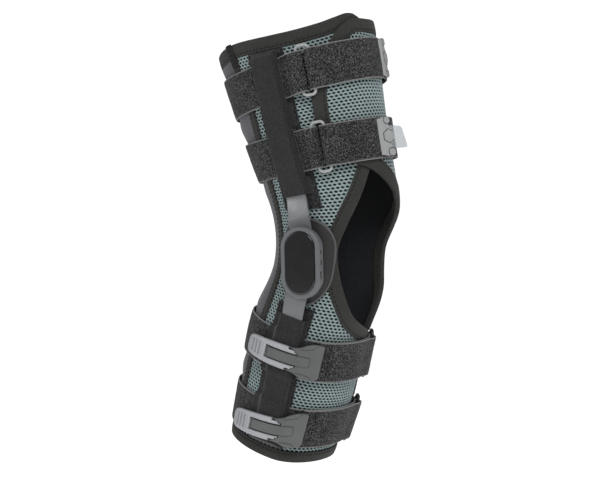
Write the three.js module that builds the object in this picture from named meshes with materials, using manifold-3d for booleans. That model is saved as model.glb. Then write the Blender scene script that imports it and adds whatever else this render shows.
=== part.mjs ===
import * as THREE from "three";
import Module from "manifold-3d";

// A hinged knee brace, standing as it is worn on a slightly bent leg.
// Millimetres and degrees. Z is up, the kneecap faces -Y and the leg's outer side faces -X.
// A place on the brace has three numbers: how far along the leg from the middle of the knee,
// the angle round the leg from its front, and the lift outward from the skin.
// Angle 90 is the outer side, 180 the back and -90 the inner side.

const THIGH_LEAN = 12;
const CALF_LEAN = 15;
const BEND_LENGTH = 150;

// The hollow that the leg fills: half depths to the front and back of the axis, half width.
const LEG_SECTIONS = [
  { along: -220, front: 29, back: 61, side: 49 },
  { along: -140, front: 36, back: 66, side: 54 },
  { along: -80, front: 34, back: 68, side: 54 },
  { along: -20, front: 49, back: 55, side: 54 },
  { along: 30, front: 56, back: 56, side: 55 },
  { along: 90, front: 56, back: 68, side: 61 },
  { along: 160, front: 60, back: 79, side: 68 },
  { along: 230, front: 61, back: 87, side: 74 },
];

// Thicknesses of the layers, and the gap left between one layer and the next.
const GAP = 0.4;
const PANEL = 2.4;
const TAPE = 0.7;
const BINDING_GAP = 0.55;
const POCKET_BASE = 1.0;
const POCKET_COVER = 1.0;
const STRAP = 1.6;
const ARM = 2.2;

// How far each layer lies from the skin, from the panel outward.
const TAPE_LIFT = PANEL + GAP;
const STRAP_LIFT = TAPE_LIFT + POCKET_BASE + GAP;
const ARM_LIFT = STRAP_LIFT + STRAP + GAP;
const FLAP_LIFT = PANEL + BINDING_GAP + TAPE + GAP;
const FLAP_BED = FLAP_LIFT + PANEL + GAP;
const FLAP_BAND_BED = FLAP_LIFT + PANEL + BINDING_GAP + TAPE + GAP;

// Ends of the sleeve. The top edge dips at the sides and the back; the bottom rises at the front and the back.
const TOP = 204;
const TOP_EDGE = [
  { angle: -180, rise: -8 },
  { angle: -125, rise: -4 },
  { angle: -75, rise: -4.5 },
  { angle: -25, rise: -2.5 },
  { angle: 5, rise: 1.5 },
  { angle: 22, rise: 4.8 },
  { angle: 34, rise: 2.2 },
  { angle: 50, rise: -1.6 },
  { angle: 70, rise: -4 },
  { angle: 90, rise: -4.2 },
  { angle: 125, rise: -2.7 },
  { angle: 155, rise: -7.2 },
  { angle: 180, rise: -8 },
];
const BOTTOM = -206;
const BOTTOM_FRONT_RISE = 6;
const BOTTOM_BACK_RISE = 5;
const TRIM_START = 120;

const SEAM_GAP = 1.2;
const SEAM_TAPE_WIDTH = 10;
const TOP_BINDING_WIDTH = 12;
const EDGE_BINDING_WIDTH = 11.5;
const BOTTOM_BINDING_WIDTH = 10;
const EDGE_SPACING = { fine: 4, round: 7.5, straight: 1, slant: 10, along: 24 };

// Seam between a side panel and the back panel.
const BACK_SEAM = [
  { along: -205, angle: 140 },
  { along: -130, angle: 138 },
  { along: -80, angle: 132 },
  { along: -30, angle: 133 },
  { along: 15, angle: 133 },
  { along: 55, angle: 132 },
  { along: 110, angle: 125 },
  { along: 150, angle: 123 },
  { along: 205, angle: 127 },
];

// Free edge of the outer panel: top corner, front edge under the flap, kneecap opening, calf seam.
const CALF_SEAM = -30;
const OUTER_EDGE = [
  { along: TOP, angle: 17 },
  { along: 200.5, angle: 9.5 },
  { along: 190, angle: 6.5 },
  { along: 150, angle: 7 },
  { along: 100, angle: 9 },
  { along: 82, angle: 17 },
  { along: 65, angle: 30 },
  { along: 47, angle: 42 },
  { along: 22, angle: 58 },
  { along: 0, angle: 66 },
  { along: -24, angle: 60 },
  { along: -44, angle: 46 },
  { along: -55.5, angle: 33 },
  { along: -62, angle: 20 },
  { along: -66.5, angle: 7 },
  { along: -70.5, angle: -7 },
  { along: -74, angle: -20 },
  { along: -77, angle: CALF_SEAM },
];

// Free edge of the inner panel, whose thigh part is the flap that closes over the outer panel.
const FLAP_EDGE = [
  { along: TOP, angle: -30 },
  { along: 203, angle: -14 },
  { along: 200.6, angle: 5 },
  { along: 198.8, angle: 18 },
  { along: 197, angle: 28 },
  { along: 193.2, angle: 36 },
  { along: 187, angle: 42.5 },
  { along: 177, angle: 50.5 },
  { along: 164, angle: 59 },
  { along: 143, angle: 66 },
  { along: 120, angle: 68 },
  { along: 96, angle: 67 },
  { along: 82, angle: 60 },
  { along: 74, angle: 47 },
  { along: 68, angle: 31 },
  { along: 57, angle: 15 },
  { along: 44, angle: 0 },
];
const INNER_OPENING_EDGE = [
  { along: 44, angle: 0 },
  { along: 31, angle: -21 },
  { along: 17, angle: -43 },
  { along: -2, angle: -57 },
  { along: -22, angle: -54 },
  { along: -39, angle: -42 },
  { along: -51, angle: -35 },
  { along: -62, angle: -32.2 },
  { along: -75, angle: CALF_SEAM - 1.6 },
];
const OPENING_BINDING_START = 0.25;
const FLAP_RAMP = { from: -30, to: 6 };

// The line that the hinge and its bars follow down each side, and the pockets on it.
const HINGE_LINE = [
  { along: -190, angle: 96 },
  { along: -60, angle: 98 },
  { along: -11, angle: 95 },
  { along: 52, angle: 100 },
  { along: 190, angle: 98 },
];
const ARM_WIDTH = 22;
const ARM_END_CLEARANCE = 1.5;
const POCKETS = {
  thigh: { base: 38, open: 52, closed: 187, arm: 183, half: 13.4, front: 22, back: 19 },
  calf: { base: -55, open: -66, closed: -191, arm: -180, half: 16, front: 22, back: 20 },
};
const ARM_BENDS = { thigh: { from: 26, to: 52 }, calf: { from: -47, to: -67 } };

// Hinge: a soft pad on the sleeve, a back plate, a housing with a channel for the bars, and a cap.
const HINGE_ALONG = -11;
const HINGE_BACK = 5;
const HINGE_LEAN = 1.5;
const KNEE_SIDE = 54.1;
const PAD_LIFT = FLAP_LIFT;
const PAD = { width: 59, length: 83, edge: 1.8, middle: 3 };
const PLATE = { width: 37, length: 64, depth: 2 };
const HOUSING = { width: 39.5, length: 67, depth: 9.1, bevel: 1.4 };
const CAP = { width: 29.6, length: 58.2, recess: 2, depth: 2.6, bevel: 0.8 };
const ARM_CHANNEL_CLEARANCE = 0.5;
const CHANNEL_SWING = 15;

// Straps: where each runs, where its ring sits, and how far its free end comes back.
const STRAP_WIDTH = 38;
const THIGH_RING = 68.5;
const CALF_RING = -45;
const STRAPS = [
  { name: "thigh_strap_upper", mid: 160, tilt: 6, rise: 0, ring: THIGH_RING, turn: 1, end: -2 },
  { name: "thigh_strap_lower", mid: 91.5, tilt: 0, rise: 0, ring: THIGH_RING, turn: 1, end: 18.5 },
  { name: "calf_strap_upper", mid: -101.5, tilt: 0, rise: 3, ring: CALF_RING, turn: -1, end: 62 },
  { name: "calf_strap_lower", mid: -169, tilt: 2, rise: 3, ring: CALF_RING, turn: -1, end: 62 },
];
const RING_BAR = 1.4;
const RING_BAR_SPACING = 11.5;
const RING_END_CLEARANCE = 2.4;
const RING_BLUNTNESS = 0.4;
const RING_CLEARANCE = 1.1;
const THIGH_RING_STEP = 2.3;
const CALF_RING_RISE = 1;
const FOLD = RING_BAR + RING_CLEARANCE + STRAP / 2;

// Height of what a thigh strap lies on, round the leg.
const THIGH_BED = [
  { angle: -60, bed: STRAP_LIFT },
  { angle: -22, bed: FLAP_BED },
  { angle: 4, bed: FLAP_BED },
  { angle: 15, bed: FLAP_BAND_BED },
  { angle: 70, bed: FLAP_BAND_BED },
];

// Pull tab of a thigh strap: a plate on the strap's end and a clear finger pull under the plate.
const TAB = { length: 17, half: 19.5, foot: 4, thick: 1.6 };
const PULL = { start: 5, length: 25, half: 11.5, thick: 1, spring: 5 };

// Buckle on the free end of a calf strap, from the strap (0) to the tip of the grip (1).
const BUCKLE_SPAN = { strap: 57, tip: 129 };
const BUCKLE_LIFT = [
  { part: 0, lift: 8.2 },
  { part: 0.16, lift: 10 },
  { part: 0.3, lift: 11.6 },
  { part: 0.8, lift: 11.6 },
  { part: 1, lift: 10.6 },
];
const BUCKLE_BODY = [
  { part: 0, half: 15.5 },
  { part: 0.04, half: 17 },
  { part: 0.15, half: 17.5 },
  { part: 0.26, half: 16 },
  { part: 0.35, half: 12.4 },
  { part: 0.355, half: 6.4 },
  { part: 0.5, half: 6.4 },
  { part: 0.65, half: 6.4 },
  { part: 0.78, half: 6.2 },
];
const BUCKLE_GRIP = [
  { part: 0.365, half: 10.8 },
  { part: 0.5, half: 11 },
  { part: 0.65, half: 10.8 },
  { part: 0.8, half: 10.3 },
  { part: 0.92, half: 9.4 },
  { part: 0.98, half: 8 },
  { part: 1, half: 6.2 },
];
const GRIP_SLOT = { end: 0.79, half: 6.9 };
const BUCKLE_THICK = { body: 3, grip: 3.8 };
const BUCKLE_DROOP = { calf_strap_upper: 3, calf_strap_lower: 8 };

const COLOURS = {
  mesh: { color: 0x748282, roughness: 0.9, metalness: 0 },
  stretch: { color: 0x4b484e, roughness: 0.85, metalness: 0 },
  tape: { color: 0x2a2a29, roughness: 0.85, metalness: 0 },
  pocket: { color: 0x232325, roughness: 0.9, metalness: 0 },
  strap: { color: 0x1b1b1d, roughness: 0.95, metalness: 0 },
  arm: { color: 0x8a8e91, roughness: 0.4, metalness: 0.8 },
  housing: { color: 0x5d6266, roughness: 0.5, metalness: 0 },
  cap: { color: 0x0c0c0d, roughness: 0.15, metalness: 0 },
  pad: { color: 0x343536, roughness: 0.8, metalness: 0 },
  ring: { color: 0xa6aaab, roughness: 0.5, metalness: 0 },
  tab: { color: 0x8d9092, roughness: 0.5, metalness: 0 },
  pull: { color: 0xc6cacc, roughness: 0.2, metalness: 0 },
  buckle: { color: 0x505355, roughness: 0.55, metalness: 0 },
  grip: { color: 0x999c9d, roughness: 0.5, metalness: 0 },
};

const DEGREE = Math.PI / 180;
const wasm = await Module();
wasm.setup();

const clamp01 = (t) => Math.min(1, Math.max(0, t));
const ramp = (x, from, to) => clamp01((x - from) / (to - from));
const ease = (x, from, to) => {
  const t = ramp(x, from, to);
  return t * t * (3 - 2 * t);
};

// Straight lines through the rows of a table, flat beyond its ends.
function lineThrough(rows, across, column) {
  return (x) => {
    let k = rows.findIndex((row) => row[across] >= x);
    if (k === 0) return rows[0][column];
    if (k < 0) return rows[rows.length - 1][column];
    const t = (x - rows[k - 1][across]) / (rows[k][across] - rows[k - 1][across]);
    return rows[k - 1][column] + t * (rows[k][column] - rows[k - 1][column]);
  };
}

// Smooth curve through the rows of a table: cubic pieces that share their slopes.
function curveThrough(rows, across, column) {
  const slope = (k) => {
    const a = rows[Math.max(0, k - 1)];
    const b = rows[Math.min(rows.length - 1, k + 1)];
    return (b[column] - a[column]) / (b[across] - a[across]);
  };
  return (x) => {
    let k = rows.findIndex((row) => row[across] > x);
    if (k < 0) k = rows.length - 1;
    k = Math.max(1, k);
    const [a, b] = [rows[k - 1], rows[k]];
    const h = b[across] - a[across];
    const t = clamp01((x - a[across]) / h);
    const [t2, t3] = [t * t, t * t * t];
    return (
      (2 * t3 - 3 * t2 + 1) * a[column] +
      (t3 - 2 * t2 + t) * h * slope(k - 1) +
      (3 * t2 - 2 * t3) * b[column] +
      (t3 - t2) * h * slope(k)
    );
  };
}

const frontDepth = curveThrough(LEG_SECTIONS, "along", "front");
const backDepth = curveThrough(LEG_SECTIONS, "along", "back");
const sideWidth = curveThrough(LEG_SECTIONS, "along", "side");
const backSeam = curveThrough(BACK_SEAM, "along", "angle");
const hingeLine = curveThrough(HINGE_LINE, "along", "angle");
const topRise = curveThrough(TOP_EDGE, "angle", "rise");

// The leg's axis: a straight calf, a circular bend at the knee, a straight thigh.
function axis(along) {
  const radius = BEND_LENGTH / ((THIGH_LEAN + CALF_LEAN) * DEGREE);
  const middle = ((THIGH_LEAN - CALF_LEAN) / 2) * DEGREE;
  const bend = Math.min(BEND_LENGTH / 2, Math.max(-BEND_LENGTH / 2, along));
  const lean = middle + bend / radius;
  const over = along - bend;
  const y = radius * (Math.cos(middle) - Math.cos(lean)) + over * Math.sin(lean);
  const z = radius * (Math.sin(lean) - Math.sin(middle)) + over * Math.cos(lean);
  return { y, z, lean };
}

// A point of the leg's skin, two half ellipses, moved out by the lift along its normal.
function onLeg(along, angle, lift) {
  const { y, z, lean } = axis(along);
  const c = Math.cos(angle * DEGREE);
  const s = Math.sin(angle * DEGREE);
  const depth = c > 0 ? frontDepth(along) : backDepth(along);
  const width = sideWidth(along);
  const n = Math.hypot(c / depth, s / width);
  const front = depth * c + (lift * c) / depth / n;
  const side = width * s + (lift * s) / width / n;
  return new THREE.Vector3(-side, y - front * Math.cos(lean), z + front * Math.sin(lean));
}

// Directions on the leg at a place: round it, up it and outward, and the millimetres in a degree.
function frameAt(along, angle, lift) {
  const round = onLeg(along, angle + 0.5, lift).sub(onLeg(along, angle - 0.5, lift));
  const perDegree = round.length();
  round.normalize();
  const up = onLeg(along + 1, angle, lift).sub(onLeg(along - 1, angle, lift)).normalize();
  const out = new THREE.Vector3().crossVectors(up, round).normalize();
  if (out.dot(onLeg(along, angle, lift + 1).sub(onLeg(along, angle, lift))) < 0) out.negate();
  up.addScaledVector(round, -up.dot(round)).normalize();
  return { round, up, out, perDegree };
}

// Where the sleeve's cloth lies once its ends are shaped.
function trim(along, angle) {
  const top = topRise(angle - 360 * Math.round(angle / 360));
  const toFront = (1 + Math.cos(angle * DEGREE)) / 2;
  const bottom = BOTTOM_FRONT_RISE * toFront ** 2 + BOTTOM_BACK_RISE * (1 - toFront) ** 2;
  return along + top * ramp(along, TRIM_START, TOP) + bottom * ramp(-along, TRIM_START, -BOTTOM);
}

// A closed thick sheet: each station has as many outer points as inner ones.
function thickSheet(stations, closed = false) {
  const count = stations[0].outer.length;
  const points = stations.flatMap((s) => [...s.outer, ...s.inner]);
  const index = [];
  const outer = (i, j) => (i % stations.length) * 2 * count + j;
  const inner = (i, j) => outer(i, j) + count;
  const quad = (a, b, c, d) => {
    const shortAC = points[a].distanceTo(points[c]) <= points[b].distanceTo(points[d]);
    index.push(...(shortAC ? [a, b, c, a, c, d] : [a, b, d, b, c, d]));
  };
  const last = closed ? stations.length : stations.length - 1;
  for (let i = 0; i < last; i++) {
    for (let j = 0; j < count - 1; j++) {
      quad(outer(i, j), outer(i, j + 1), outer(i + 1, j + 1), outer(i + 1, j));
      quad(inner(i, j), inner(i + 1, j), inner(i + 1, j + 1), inner(i, j + 1));
    }
    quad(outer(i, 0), outer(i + 1, 0), inner(i + 1, 0), inner(i, 0));
    const e = count - 1;
    quad(outer(i, e), inner(i, e), inner(i + 1, e), outer(i + 1, e));
  }
  for (let j = 0; j < count - 1 && !closed; j++) {
    quad(outer(0, j), inner(0, j), inner(0, j + 1), outer(0, j + 1));
    quad(outer(last, j), outer(last, j + 1), inner(last, j + 1), inner(last, j));
  }
  return outward(points, index);
}

// A geometry from points and triangles, turned so that its faces look outward.
function outward(points, index) {
  let volume = 0;
  for (let k = 0; k < index.length; k += 3) {
    const [a, b, c] = [points[index[k]], points[index[k + 1]], points[index[k + 2]]];
    volume += new THREE.Vector3().crossVectors(b, c).dot(a);
  }
  if (volume < 0) index.reverse();
  const geometry = new THREE.BufferGeometry().setFromPoints(points);
  geometry.setIndex(index);
  geometry.computeVertexNormals();
  return geometry;
}

const flat = () => 0;
const flapLift = (angle) => FLAP_LIFT * ease(angle, FLAP_RAMP.from, FLAP_RAMP.to);
const steps = (from, to, count) =>
  Array.from({ length: count + 1 }, (_, k) => from + ((to - from) * k) / count);

// Places on a smooth curve through a table of edge rows: close together where the edge turns
// round the leg, further apart where it only runs along it.
function edgePlaces(rows) {
  const perDegree = 1.1;
  const points = rows.map((row) => new THREE.Vector3(row.angle * perDegree, row.along, 0));
  const curve = new THREE.CatmullRomCurve3(points, false, "centripetal");
  const count = Math.round(curve.getLength() / EDGE_SPACING.fine);
  const all = curve.getSpacedPoints(count).map((p) => ({ along: p.y, angle: p.x / perDegree }));
  const kept = [all[0]];
  for (const place of all.slice(1, -1)) {
    const last = kept.at(-1);
    const round = Math.abs(place.angle - last.angle);
    const up = Math.abs(place.along - last.along);
    const limit = round > EDGE_SPACING.straight ? EDGE_SPACING.slant : EDGE_SPACING.along;
    if (round > EDGE_SPACING.round || up > limit) kept.push(place);
  }
  return [...kept, all.at(-1)];
}

// A thick strip that follows places on the leg. Its section is a list of points, each so far
// across from the path (to its right, seen from outside) at a lift above the bed, outer and inner.
function strip(places, section, bedAt = flat, closed = false) {
  const at = (k) => places[closed ? (k + places.length) % places.length : k];
  const stations = places.map((place, k) => {
    const before = at(closed ? k - 1 : Math.max(0, k - 1));
    const after = at(closed ? k + 1 : Math.min(places.length - 1, k + 1));
    const { perDegree } = frameAt(place.along, place.angle, 0);
    let turn = after.angle - before.angle;
    turn -= 360 * Math.round(turn / 360);
    const round = turn * perDegree;
    const up = after.along - before.along;
    const length = Math.hypot(round, up);
    const point = ([across, lift]) => {
      const angle = place.angle - (across * up) / length / perDegree;
      return onLeg(place.along + (across * round) / length, angle, lift + bedAt(angle));
    };
    const { outer, inner } = section(place);
    return { outer: outer.map(point), inner: inner.map(point) };
  });
  return thickSheet(stations, closed);
}

// Tape folded over an edge: an outer leg, a turn round the edge and, when whole, an inner leg.
function foldedTape(side, width, whole) {
  const [near, far] = [-GAP * side, -(GAP + TAPE) * side];
  const top = PANEL + BINDING_GAP;
  const under = -BINDING_GAP;
  const across = width * side;
  const outer = [across, across / 2, far].map((x) => [x, top + TAPE]);
  const inner = [across, across / 2, near].map((x) => [x, top]);
  outer.push([far, whole ? under - TAPE : 0]);
  inner.push([near, whole ? under : 0]);
  if (whole) {
    outer.push([across, under - TAPE]);
    inner.push([across, under]);
  }
  return { outer, inner };
}

const flatTape = (half) => ({
  outer: [[-half, PANEL + BINDING_GAP + TAPE], [half, PANEL + BINDING_GAP + TAPE]],
  inner: [[-half, PANEL + BINDING_GAP], [half, PANEL + BINDING_GAP]],
});

const brace = new THREE.Group();
brace.name = "knee_brace";

function add(name, geometry, colour, parent = brace) {
  const mesh = new THREE.Mesh(geometry, new THREE.MeshStandardMaterial(COLOURS[colour]));
  mesh.name = name;
  parent.add(mesh);
  return mesh;
}

// A panel between two edges, a row of places across it at each height.
function panel(rows, columns, liftAt) {
  const stations = rows.map(({ along, from, to }) => {
    const angles = steps(from, to, columns);
    const at = (extra) => angles.map((a) => onLeg(trim(along, a), a, liftAt(a) + extra));
    return { outer: at(PANEL), inner: at(0) };
  });
  return thickSheet(stations);
}

const seamAngle = (along) => backSeam(along) - SEAM_GAP / 2;
const calfRows = (from, angle) =>
  steps(from, BOTTOM, 7).slice(1).map((along) => ({ along, angle }));

// Outer panel, from the back seam to its free front edge.
const outerEdge = edgePlaces(OUTER_EDGE);
const outerRows = [...outerEdge, ...calfRows(OUTER_EDGE.at(-1).along, CALF_SEAM)].map((row) => ({
  along: row.along,
  from: seamAngle(row.along),
  to: Math.max(row.angle, CALF_SEAM),
}));
add("outer_panel", panel(outerRows, 14, flat), "mesh");

// Inner panel with the flap.
const innerEdge = [
  ...edgePlaces(FLAP_EDGE),
  ...edgePlaces(INNER_OPENING_EDGE).slice(1),
  ...calfRows(INNER_OPENING_EDGE.at(-1).along, CALF_SEAM - 1.6),
];
const innerRows = innerEdge.map((row) => ({
  along: row.along,
  from: -seamAngle(row.along),
  to: row.angle,
}));
add("inner_panel", panel(innerRows, 18, flapLift), "mesh");

// Back panel between the two seams.
const tapeRows = steps(TOP - 14, BOTTOM + 12, 20);
const backRows = [TOP, ...tapeRows, BOTTOM].map((along) => ({
  along,
  from: backSeam(along) + SEAM_GAP / 2,
  to: 360 - backSeam(along) - SEAM_GAP / 2,
}));
add("back_panel", panel(backRows, 11, flat), "stretch");

// Bindings over the free edges.
const trimmed = (places) => places.map((p) => ({ along: trim(p.along, p.angle), angle: p.angle }));
const topPlaces = (from, to, count) => steps(from, to, count).map((angle) => ({ along: TOP, angle }));
const bindingWidth = (place) =>
  EDGE_BINDING_WIDTH +
  (TOP_BINDING_WIDTH - EDGE_BINDING_WIDTH) * ease(place.along, TOP - 22, TOP - 2);
const BINDING_BREAK = 2;

const outerPath = [
  ...topPlaces(seamAngle(TOP), OUTER_EDGE[0].angle, 19).slice(0, -1),
  ...edgePlaces(OUTER_EDGE),
];
const outerFold = (place) => foldedTape(1, bindingWidth(place), true);
add("outer_binding", strip(trimmed(outerPath), outerFold), "tape");

const innerTop = topPlaces(-seamAngle(TOP), FLAP_EDGE[0].angle - BINDING_BREAK, 11);
const innerTopFold = () => foldedTape(-1, TOP_BINDING_WIDTH, true);
add("inner_top_binding", strip(trimmed(innerTop), innerTopFold, flapLift), "tape");

const flapFold = (place) => foldedTape(-1, bindingWidth(place), false);
const flapPath = edgePlaces(FLAP_EDGE);
add("flap_binding", strip(trimmed(flapPath), flapFold, flapLift), "tape");

const openingFold = () => foldedTape(-1, EDGE_BINDING_WIDTH, true);
const openingPath = edgePlaces(INNER_OPENING_EDGE);
for (const key of ["along", "angle"]) {
  openingPath[0][key] += OPENING_BINDING_START * (openingPath[1][key] - openingPath[0][key]);
}
add("inner_opening_binding", strip(openingPath, openingFold, flapLift), "tape");

const backTop = topPlaces(360 - backSeam(TOP) - SEAM_GAP / 2, backSeam(TOP) + SEAM_GAP / 2, 11);
const backTopFold = () => foldedTape(1, TOP_BINDING_WIDTH, true);
add("back_top_binding", strip(trimmed(backTop), backTopFold), "tape");

const bottomRing = steps(0, 360, 36).slice(0, -1).map((angle) => ({ along: BOTTOM, angle }));
const bottomFold = () => foldedTape(1, BOTTOM_BINDING_WIDTH, true);
add("bottom_binding", strip(trimmed(bottomRing), bottomFold, flat, true), "tape");

// Tapes over the seams.
const tapeSection = () => flatTape(SEAM_TAPE_WIDTH / 2);
for (const [name, side] of [["outer_seam_tape", 1], ["inner_seam_tape", -1]]) {
  const places = tapeRows.map((along) => ({ along, angle: side * backSeam(along) }));
  add(name, strip(trimmed(places), tapeSection), "tape");
}
const calfTape = steps(-90, BOTTOM + 14, 6).map((along) => ({ along, angle: CALF_SEAM - 0.8 }));
add("calf_seam_tape", strip(trimmed(calfTape), tapeSection), "tape");

// Middle of a bar's inner face and the directions of its flat section, on the outer side.
// Between the hinge and the bend the bar stays in the hinge's own plane.
const PLATE_OUT = KNEE_SIDE + PAD_LIFT + PAD.middle + GAP;
const ARM_OUT = PLATE_OUT + PLATE.depth + GAP;
function barFrame(along, bend) {
  const angle = hingeLine(along);
  const place = onLeg(along, angle, ARM_LIFT);
  const weight = ease(Math.abs(along), Math.abs(bend.from), Math.abs(bend.to));
  const { out } = frameAt(along, angle, ARM_LIFT);
  out.lerp(new THREE.Vector3(-1, 0, 0), 1 - weight).normalize();
  place.x = -ARM_OUT + (place.x + ARM_OUT) * weight;
  const ahead = onLeg(along + 1, hingeLine(along + 1), ARM_LIFT);
  const behind = onLeg(along - 1, hingeLine(along - 1), ARM_LIFT);
  const round = new THREE.Vector3().crossVectors(out, ahead.sub(behind)).normalize();
  return { place, out, round, angle };
}

function bar(pocket, bend, start) {
  const far = steps(bend.to, pocket.arm, 6).slice(1);
  const places = [start, bend.from, ...steps(bend.from, bend.to, 4).slice(1), ...far];
  const stations = places.map((along) => {
    const { place, out, round } = barFrame(along, bend);
    const edge = (sign, lift) =>
      place.clone().addScaledVector(round, (sign * ARM_WIDTH) / 2).addScaledVector(out, lift);
    return { outer: [edge(-1, ARM), edge(1, ARM)], inner: [edge(-1, 0), edge(1, 0)] };
  });
  return thickSheet(stations);
}

// Strap places a pocket's cover has to step over.
const strapAlong = (strap, angle) => {
  const c = Math.cos(angle * DEGREE);
  return strap.mid + strap.tilt * c + strap.rise * c * c;
};
function coverFoot(along) {
  const reach = STRAP_WIDTH / 2 + 3;
  const near = Math.min(...STRAPS.map((s) => Math.abs(along - strapAlong(s, hingeLine(along)))));
  return near < reach ? ARM_LIFT : STRAP_LIFT;
}

// Pocket cover: flat over the bar, down at both sides to the base or to the straps.
function pocketCover(pocket, bend) {
  const stops = STRAPS.flatMap((s) => {
    const middle = strapAlong(s, 98);
    const edge = STRAP_WIDTH / 2 + 3;
    return [middle - edge - 3, middle - edge + 0.1, middle, middle + edge - 0.1, middle + edge + 3];
  });
  const [low, high] = [Math.min(pocket.open, pocket.closed), Math.max(pocket.open, pocket.closed)];
  const inside = stops.filter((s) => s > low + 2 && s < high - 2).sort((a, b) => a - b);
  const stations = [low, ...inside, high].map((along) => {
    const { place, out, round, angle } = barFrame(along, bend);
    const { perDegree } = frameAt(along, angle, ARM_LIFT);
    const foot = coverFoot(along);
    const top = (across, lift) =>
      place.clone().addScaledVector(round, across).addScaledVector(out, lift);
    const edge = (across, lift) => onLeg(along, angle + across / perDegree, lift);
    const direction = Math.sign(top(1, 0).sub(place).dot(edge(1, ARM_LIFT).sub(place)));
    const inner = ARM_WIDTH / 2 + GAP;
    const outer = inner + POCKET_COVER;
    const half = pocket.half;
    return {
      outer: [
        edge(-half, foot + POCKET_COVER),
        top(-outer * direction, ARM + GAP + POCKET_COVER),
        top(outer * direction, ARM + GAP + POCKET_COVER),
        edge(half, foot + POCKET_COVER),
      ],
      inner: [
        edge(-half + POCKET_COVER, foot),
        top(-inner * direction, ARM + GAP),
        top(inner * direction, ARM + GAP),
        edge(half - POCKET_COVER, foot),
      ],
    };
  });
  return thickSheet(stations);
}

function pocketBase(pocket) {
  const stations = steps(pocket.base, pocket.closed, 9).map((along) => {
    const angle = hingeLine(along);
    const { perDegree } = frameAt(along, angle, TAPE_LIFT);
    const angles = steps(angle - pocket.front / perDegree, angle + pocket.back / perDegree, 4);
    const at = (lift) => angles.map((a) => onLeg(along, a, lift));
    return { outer: at(TAPE_LIFT + POCKET_BASE), inner: at(TAPE_LIFT) };
  });
  return thickSheet(stations);
}

// Soft pad under the hinge: a stadium outline that follows the knee's side, thicker in the middle.
function condylePad() {
  const radius = PAD.width / 2;
  const straight = PAD.length / 2 - radius;
  const rows = [-1, -0.965, -0.86, -0.68, -0.45, -0.2, 0, 0.2, 0.45, 0.68, 0.86, 0.965, 1];
  const stations = rows.map((row) => {
    const off = (row * PAD.length) / 2;
    const past = Math.max(0, Math.abs(off) - straight) / radius;
    const half = radius * Math.sqrt(Math.max(0.03, 1 - past * past));
    const along = HINGE_ALONG + off;
    const middle = hingeLine(HINGE_ALONG);
    const { perDegree } = frameAt(along, middle, PAD_LIFT);
    const angles = steps(middle - half / perDegree, middle + half / perDegree, 6);
    const crown = (k) => PAD.edge + (PAD.middle - PAD.edge) * (1 - past * past) * (1 - (k / 3 - 1) ** 2);
    return {
      outer: angles.map((a, k) => onLeg(along, a, PAD_LIFT + crown(k))),
      inner: angles.map((a) => onLeg(along, a, PAD_LIFT)),
    };
  });
  return thickSheet(stations);
}

function stadium(width, length) {
  const radius = width / 2;
  const straight = length / 2 - radius;
  const shape = new THREE.Shape();
  shape.absarc(0, straight, radius, 0, Math.PI);
  shape.absarc(0, -straight, radius, Math.PI, 2 * Math.PI);
  shape.closePath();
  return shape;
}

// A stadium plate from one depth to another, its edges bevelled.
function stadiumPlate(size, from, to, bevel) {
  const geometry = new THREE.ExtrudeGeometry(stadium(size.width - 2 * bevel, size.length - 2 * bevel), {
    depth: to - from - 2 * bevel,
    curveSegments: 8,
    bevelEnabled: bevel > 0,
    bevelThickness: bevel,
    bevelSize: bevel,
    bevelSegments: 1,
  });
  return geometry.translate(0, 0, from + bevel);
}

function solidOf(geometry) {
  const source = geometry.index ? geometry.toNonIndexed() : geometry;
  const place = source.getAttribute("position");
  const seen = new Map();
  const vertices = [];
  const triangles = [];
  for (let k = 0; k < place.count; k++) {
    const p = [place.getX(k), place.getY(k), place.getZ(k)];
    const key = p.map((x) => Math.round(x * 1e4)).join();
    if (!seen.has(key)) {
      seen.set(key, vertices.length / 3);
      vertices.push(...p);
    }
    triangles.push(seen.get(key));
  }
  const whole = [];
  for (let k = 0; k < triangles.length; k += 3) {
    const [a, b, c] = triangles.slice(k, k + 3);
    if (a !== b && b !== c && c !== a) whole.push(a, b, c);
  }
  const vertProperties = new Float32Array(vertices);
  const triVerts = new Uint32Array(whole);
  return new wasm.Manifold(new wasm.Mesh({ numProp: 3, vertProperties, triVerts }));
}

function geometryOf(solid) {
  const mesh = solid.getMesh();
  const geometry = new THREE.BufferGeometry();
  geometry.setAttribute("position", new THREE.BufferAttribute(new Float32Array(mesh.vertProperties), 3));
  geometry.setIndex(new THREE.BufferAttribute(new Uint32Array(mesh.triVerts), 1));
  geometry.computeVertexNormals();
  return geometry;
}

// The housing: a stadium block with a recess for the cap and a channel behind for the bars.
function housing() {
  const block = solidOf(stadiumPlate(HOUSING, 0, HOUSING.depth, HOUSING.bevel));
  const seat = { width: CAP.width + 2 * GAP, length: CAP.length + 2 * GAP };
  const recess = stadiumPlate(seat, HOUSING.depth - CAP.recess, HOUSING.depth + 1, 0);
  const channelDepth = ARM + ARM_CHANNEL_CLEARANCE;
  const channelWidth = ARM_WIDTH + CHANNEL_SWING;
  const channel = new THREE.BoxGeometry(channelWidth, HOUSING.length + 10, 2 * channelDepth);
  return geometryOf(block.subtract(solidOf(recess)).subtract(solidOf(channel)));
}

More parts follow.
